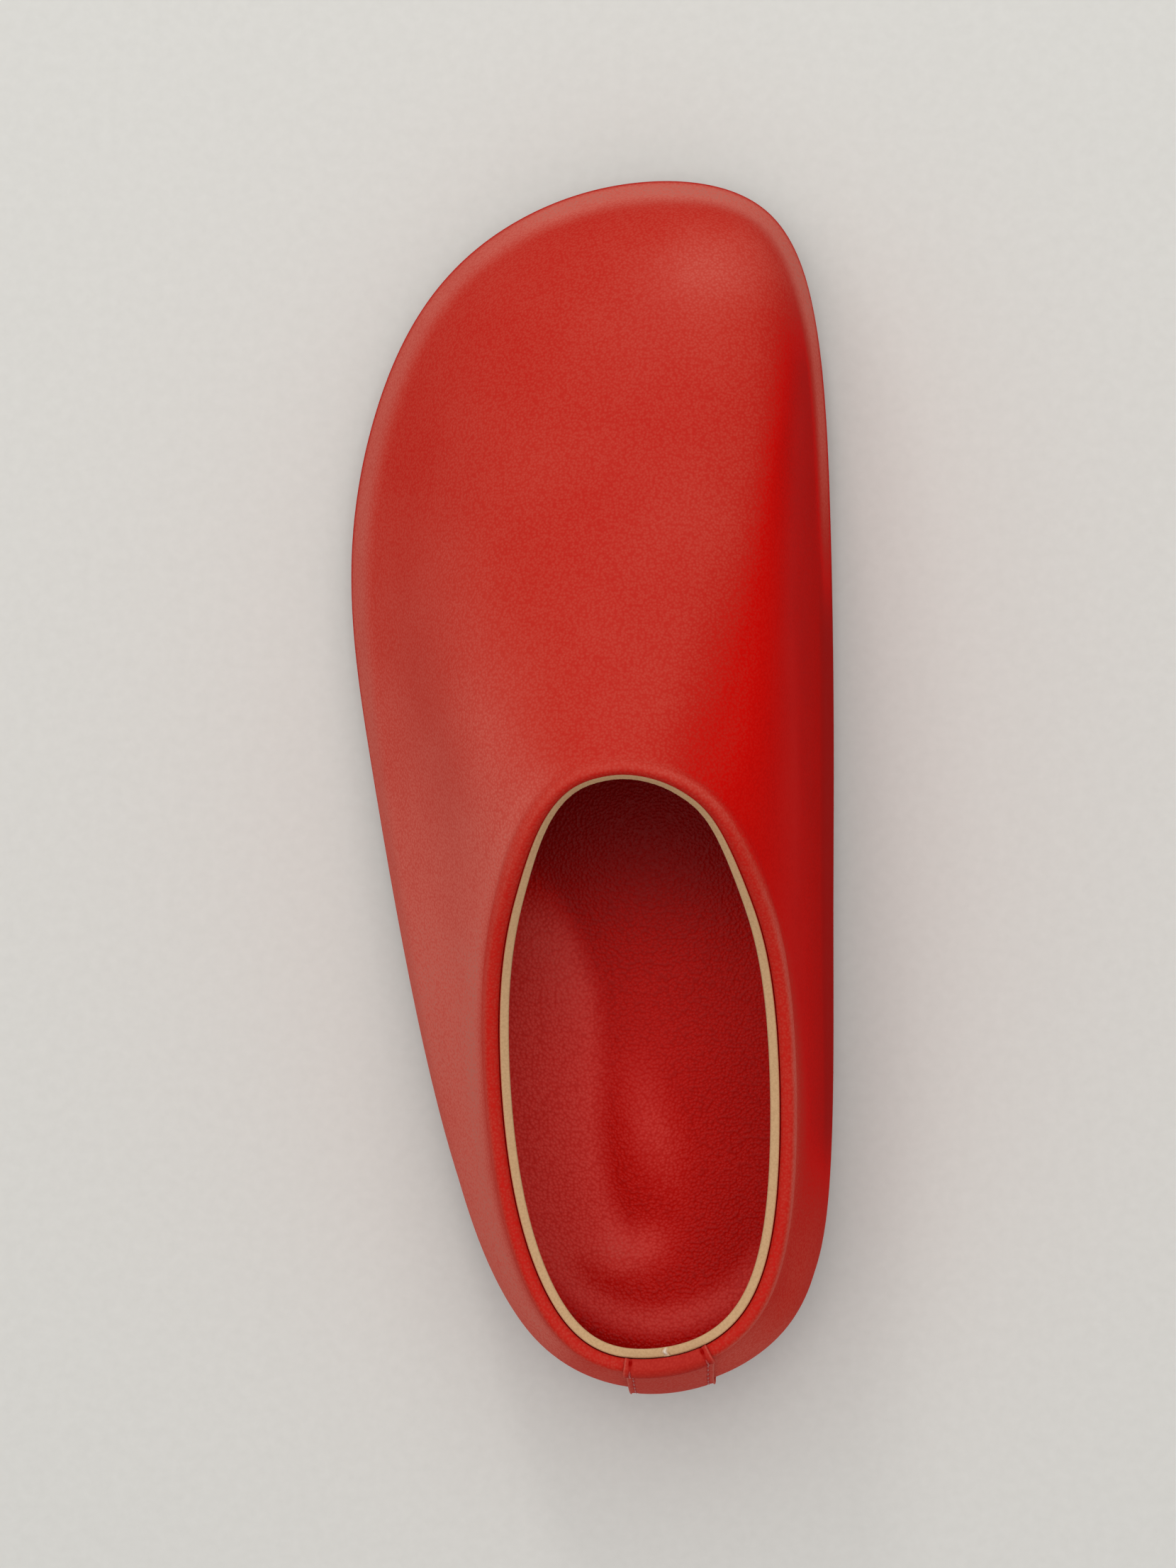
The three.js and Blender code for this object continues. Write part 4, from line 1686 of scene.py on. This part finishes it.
@dataclass
class Insole:
    """The contoured insole that fills the foot of the shell, in mm."""

    last: LastForm
    columns: int = 384
    rungs: int = 96
    side_rows: int = 7
    ridge_along: float = 20.0
    ridge_across: float = 22.0
    ridge_height: float = 1.6
    ridge_half_width: float = 8.0
    ridge_half_length: float = 17.0
    roll_width: float = 7.0
    roll_depth: float = 2.8
    bank: float = 0.7
    bank_inset: Change = Change(0.0, 12.0)
    bank_edge: Change = Change(-3.5, 3.5)
    bank_from: Change = Change(-112.0, -102.0)
    bank_until: Change = Change(-36.0, -16.0)
    # painted sheen on the outer bank and round the heel; painted shade under the throat, where
    # floor_tone falls away towards the toe
    bank_tone: float = 0.20
    floor_tone: float = 0.10
    floor_until: Change = Change(-44.0, -8.0)
    heel_until: Change = Change(-112.0, -98.0)
    heel_line: SoftLine = SoftLine(10.5, 3.0, 0.22)
    rim_start: float = 1.0
    rim_end: float = 4.0
    heel_rim_end: float = 8.5

    def station(self, name: str, y: np.ndarray) -> np.ndarray:
        """Finds a value of the station table along the shoe, eased between stations.

        Args:
            name: the value's column.
            y: places along the shoe, in mm.

        Returns:
            One value for each place.
        """
        last = self.last
        rows = np.array([row.along for row in INSOLE_STATIONS])
        values = np.array([getattr(row, name) for row in INSOLE_STATIONS])
        along = np.clip((np.asarray(y, float) - last.heel_line) / last.length * 100.0, 0.0, 100.0)
        late = np.minimum(np.arange(len(rows)) + 1, len(rows) - 1)
        early = np.maximum(np.arange(len(rows)) - 1, 0)
        slopes = (values[late] - values[early]) / (rows[late] - rows[early])
        k = np.clip(np.searchsorted(rows, along) - 1, 0, len(rows) - 2)
        width = rows[k + 1] - rows[k]
        t = (along - rows[k]) / width
        start = (2 * t**3 - 3 * t**2 + 1) * values[k] + (t**3 - 2 * t**2 + t) * width * slopes[k]
        return start + (3 * t**2 - 2 * t**3) * values[k + 1] + (t**3 - t**2) * width * slopes[k + 1]

    def edge(self, u: np.ndarray, share: float) -> np.ndarray:
        """Finds the insole's side at a share of its height.

        Args:
            u: places round the shoe.
            share: the share, 0 at the sole and 1 at the rim.

        Returns:
            The side's loop of points.
        """
        last = self.last
        if share == 0:
            return last.inner_face(u, 0, last.seam_gap)
        y = last.foot_plan(u)[:, 1]
        inner = u < last.count / 2
        percent = np.where(inner, self.station("inner", y), self.station("outer", y))
        return last.face(u, percent / 100.0 * share, -last.wall - last.seam_gap)

    def outer_bank(self, points: np.ndarray) -> np.ndarray:
        """Finds the share of the outer bank, beside the trough that the foot has pressed.

        Args:
            points: points of the top.

        Returns:
            The share at each point.
        """
        x, y = points[..., 0], points[..., 1]
        along, across = zip(*((point.along, point.across) for point in TROUGH_LINE))
        beside = x - np.interp(y, along, across)
        ends = self.bank_from.share(y) * (1.0 - self.bank_until.share(y))
        return (1.0 - self.bank_edge.share(beside)) * ends

    def top_height(self, points: np.ndarray, rim: np.ndarray) -> np.ndarray:
        """Finds the heights of the cupped top.

        Args:
            points: points of the top, at the height of its edges.
            rim: the loop of its edges.

        Returns:
            One height for each point.
        """
        last = self.last
        x, y = points[..., 0], points[..., 1]
        ridge = hump(x, last.x_of(self.ridge_across), self.ridge_half_width)
        ridge = ridge * hump(y, last.y_of(self.ridge_along), self.ridge_half_length)
        middle = self.station("hollow", y) + self.ridge_height * ridge
        inset = from_rim(points, rim)
        away = np.minimum(1.0, inset / self.station("run", y))
        roll = self.roll_depth * np.clip(1.0 - inset / self.roll_width, 0.0, 1.0) ** 2
        bank = self.bank * self.outer_bank(points) * self.bank_inset.share(inset)
        return blend(middle, points[..., 2], (1.0 - away) ** 2) + bank - roll

    def fade(self, points: np.ndarray, rim: np.ndarray) -> np.ndarray:
        """Finds the painted light of the top: painted shade under the throat and along the rim,
        painted sheen on the outer bank, round the heel and in the patches.

        Args:
            points: points of the top.
            rim: the loop of its edges.

        Returns:
            The value at each point, from 0 to 1.
        """
        x, y = points[..., 0], points[..., 1]
        inset = from_rim(points, rim)
        floor = self.floor_tone * (1.0 - self.floor_until.share(y))
        at_heel = 1.0 - self.heel_until.share(y)
        heel = self.heel_line.share(inset) * at_heel
        shade_sheen_and_chips = floor + self.bank_tone * self.outer_bank(points) + heel
        shade_sheen_and_chips = shade_sheen_and_chips + sum(patch.share(x, y) for patch in PAINTED_SHEEN_PATCHES)
        # painted shade along the rim: the value falls to nothing near the walls, over a wider band
        # at the heel
        clear = blend(self.rim_end, self.heel_rim_end, at_heel)
        return np.clip(shade_sheen_and_chips * smooth_step(self.rim_start, clear, inset), 0.0, 1.0)

    def build(self) -> list[bpy.types.Object]:
        """Builds the insole.

        Returns:
            The piece, in a list of one.
        """
        last = self.last
        u = last.round_places(self.columns)
        loops = [self.edge(u, share) for share in np.linspace(0.0, 1.0, self.side_rows)]
        rim = loops[-1]
        top = ladder(rim, self.rungs, lambda p: self.top_height(p, rim))
        bottom = ladder(loops[0], self.rungs, lambda p: last.sole.top(p[..., 1]) + last.seam_gap)
        loops[-1] = rim - np.array([0.0, 0.0, self.roll_depth])
        weave = Weave()
        weave.grid(np.stack(loops), fade=0.0, wrap_columns=True)
        weave.grid(bottom, fade=0.0)
        weave.grid(top[:, ::-1], fade=self.fade(top, rim)[:, ::-1])
        piece = weave.piece("contoured_insole", INSOLE_LEATHER.material())
        return [seat(piece, "insole_leather", "insole")]


@dataclass
class Outsole:
    """The rubber sole with a plain ribbed tread, in mm."""

    last: LastForm
    columns: int = 960
    rungs: int = 40
    inset: float = 0.8
    edge_round: float = 2.4
    edge_rows: int = 7
    side_shares: tuple[float, ...] = (0.25, 0.5, 0.75, 0.94)
    crown_inset: float = 0.5
    rib_pitch: float = 7.5
    rib_depth: float = 0.8
    rib_margin: Change = Change(4.0, 5.5)
    rib_edge: Change = Change(0.35, 0.85)
    rib_bend: float = 2.0
    bend_length: float = 9.0

    def loop(self, u: np.ndarray, inset: float, rise: float, share: float) -> np.ndarray:
        """Finds a loop of the sole's side.

        Args:
            u: places round the shoe.
            inset: distance in from the wall's foot, in mm.
            rise: height above the underside, in mm.
            share: share of the way on from there to the sole's top.

        Returns:
            The loop's points.
        """
        last, sole = self.last, self.last.sole
        points = last.foot_plan(u) + last.inward(last.foot_plan, u) * inset
        y = points[:, 1]
        points[:, 2] = blend(sole.bottom(y) + rise, sole.top(y), share)
        return points

    def tread(self, points: np.ndarray, rim: np.ndarray) -> np.ndarray:
        """Finds the underside's heights: grooves between flat ribs, plain along the rim.

        Args:
            points: points of the underside.
            rim: its rim.

        Returns:
            One height for each point.
        """
        x, y = points[..., 0], points[..., 1]
        along = y + self.rib_bend * np.cos(x / self.bend_length)
        wave = np.cos(2.0 * math.pi * along / self.rib_pitch)
        inside = self.rib_margin.share(from_rim(points, rim))
        return self.last.sole.bottom(y) + self.rib_depth * self.rib_edge.share(wave) * inside

    def build(self) -> list[bpy.types.Object]:
        """Builds the sole.

        Returns:
            The piece, in a list of one.
        """
        sole = self.last.sole
        u = self.last.round_places(self.columns)
        loops: list[np.ndarray] = []
        for angle in np.linspace(0.0, math.pi / 2.0, self.edge_rows):
            inset = self.inset + self.edge_round * (1.0 - math.sin(angle))
            rise = self.edge_round * (1.0 - math.cos(angle))
            loops.append(self.loop(u, inset, rise, 0.0))
        loops += [self.loop(u, self.inset, self.edge_round, share) for share in self.side_shares]
        loops.append(self.loop(u, self.inset + self.crown_inset, self.edge_round, 1.0))
        weave = Weave()
        weave.grid(np.stack(loops), wrap_columns=True)
        weave.grid(ladder(loops[0], self.rungs, lambda p: self.tread(p, loops[0])))
        weave.grid(ladder(loops[-1], self.rungs, lambda p: sole.top(p[..., 1]))[:, ::-1])
        piece = weave.piece("ribbed_outsole", SOLE_RUBBER.material())
        return [seat(piece, "sole_rubber", "outsole")]


@dataclass(frozen=True)
class SoftLight:
    """One large soft lamp, placed in metres and aimed at the shoe."""

    name: str
    place: tuple[float, float, float]
    size: tuple[float, float]
    power: float
    colour: Colour
    aim: tuple[float, float, float] = (0.0, 0.0, 0.04)

    def hang(self) -> None:
        """Hangs the lamp."""
        lamp = bpy.data.lights.new(self.name, "AREA")
        lamp.shape = "RECTANGLE"
        lamp.size, lamp.size_y = self.size
        lamp.energy = self.power
        lamp.color = self.colour
        holder = bpy.data.objects.new(self.name, lamp)
        holder.location = self.place
        towards = Vector(self.aim) - Vector(self.place)
        holder.rotation_euler = towards.to_track_quat("-Z", "Y").to_euler()
        bpy.context.scene.collection.objects.link(holder)


@dataclass
class Studio:
    """The pale floor, the soft light and the camera above the shoe."""

    eye: tuple[float, float, float] = (60.1, 18.75, 1000.0)
    aim: tuple[float, float, float] = (1.0, 0.0, 40.0)
    tall_view: float = 340.0
    floor_half: float = 2.5
    floor_height: float = -0.0003
    sky: Colour = (0.98, 0.99, 1.0)
    sky_strength: float = 0.52
    lamps: tuple[SoftLight, ...] = (
        SoftLight("top_panel", (-0.05, 0.40, 1.5), (1.7, 1.5), 11.5, (1.0, 0.99, 0.96)),
        SoftLight("toe_glint", (-0.29, 1.62, 0.97), (0.25, 0.25), 4.0, (1.0, 0.98, 0.95)),
    )

    def build(self) -> None:
        """Lays the floor, lights it and places the camera."""
        self.lay_floor()
        self.light_room()
        self.place_camera()
        bpy.context.scene.view_settings.view_transform = "Standard"

    def lay_floor(self) -> None:
        """Lays the pale floor just under the sole."""
        half, height = self.floor_half, self.floor_height
        mesh = bpy.data.meshes.new("pale_floor")
        corners = [(x * half, y * half, height) for x, y in ((-1, -1), (1, -1), (1, 1), (-1, 1))]
        mesh.from_pydata(corners, [], [(0, 1, 2, 3)])
        mesh.materials.append(FLOOR.material())
        floor = bpy.data.objects.new("pale_floor", mesh)
        bpy.context.scene.collection.objects.link(floor)

    def light_room(self) -> None:
        """Fills the room with soft light and hangs the lamps."""
        world = bpy.data.worlds.new("soft_room")
        world.use_nodes = True
        background = world.node_tree.nodes["Background"]
        background.inputs["Color"].default_value = (*self.sky, 1.0)
        background.inputs["Strength"].default_value = self.sky_strength
        bpy.context.scene.world = world
        for lamp in self.lamps:
            lamp.hang()

    def place_camera(self) -> None:
        """Places the camera above the shoe, where the picture was taken from, toe up."""
        eye, aim = Vector(self.eye) * MM, Vector(self.aim) * MM
        lens = bpy.data.cameras.new("from_above")
        lens.sensor_fit = "VERTICAL"
        lens.angle = 2.0 * math.atan(self.tall_view * MM / 2.0 / (eye - aim).length)
        lens.dof.use_dof = False
        camera = bpy.data.objects.new("from_above", lens)
        back = (eye - aim).normalized()
        right = Vector((0.0, 1.0, 0.0)).cross(back).normalized()
        up = back.cross(right)
        camera.location = eye
        camera.rotation_euler = Matrix((right, up, back)).transposed().to_euler()
        bpy.context.scene.collection.objects.link(camera)
        bpy.context.scene.camera = camera


def main() -> None:
    """Builds and dresses every piece."""
    logging.basicConfig(level=logging.INFO, format="%(name)s %(message)s")
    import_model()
    last = LastForm()
    for part in (Outsole(last), Insole(last), Upper(last), CollarLining(last), HeelStrip(last)):
        for piece in part.build():
            LOG.info("%s: %d faces", piece.name, len(piece.data.polygons))
    Studio().build()


if __name__ == "__main__":
    main()
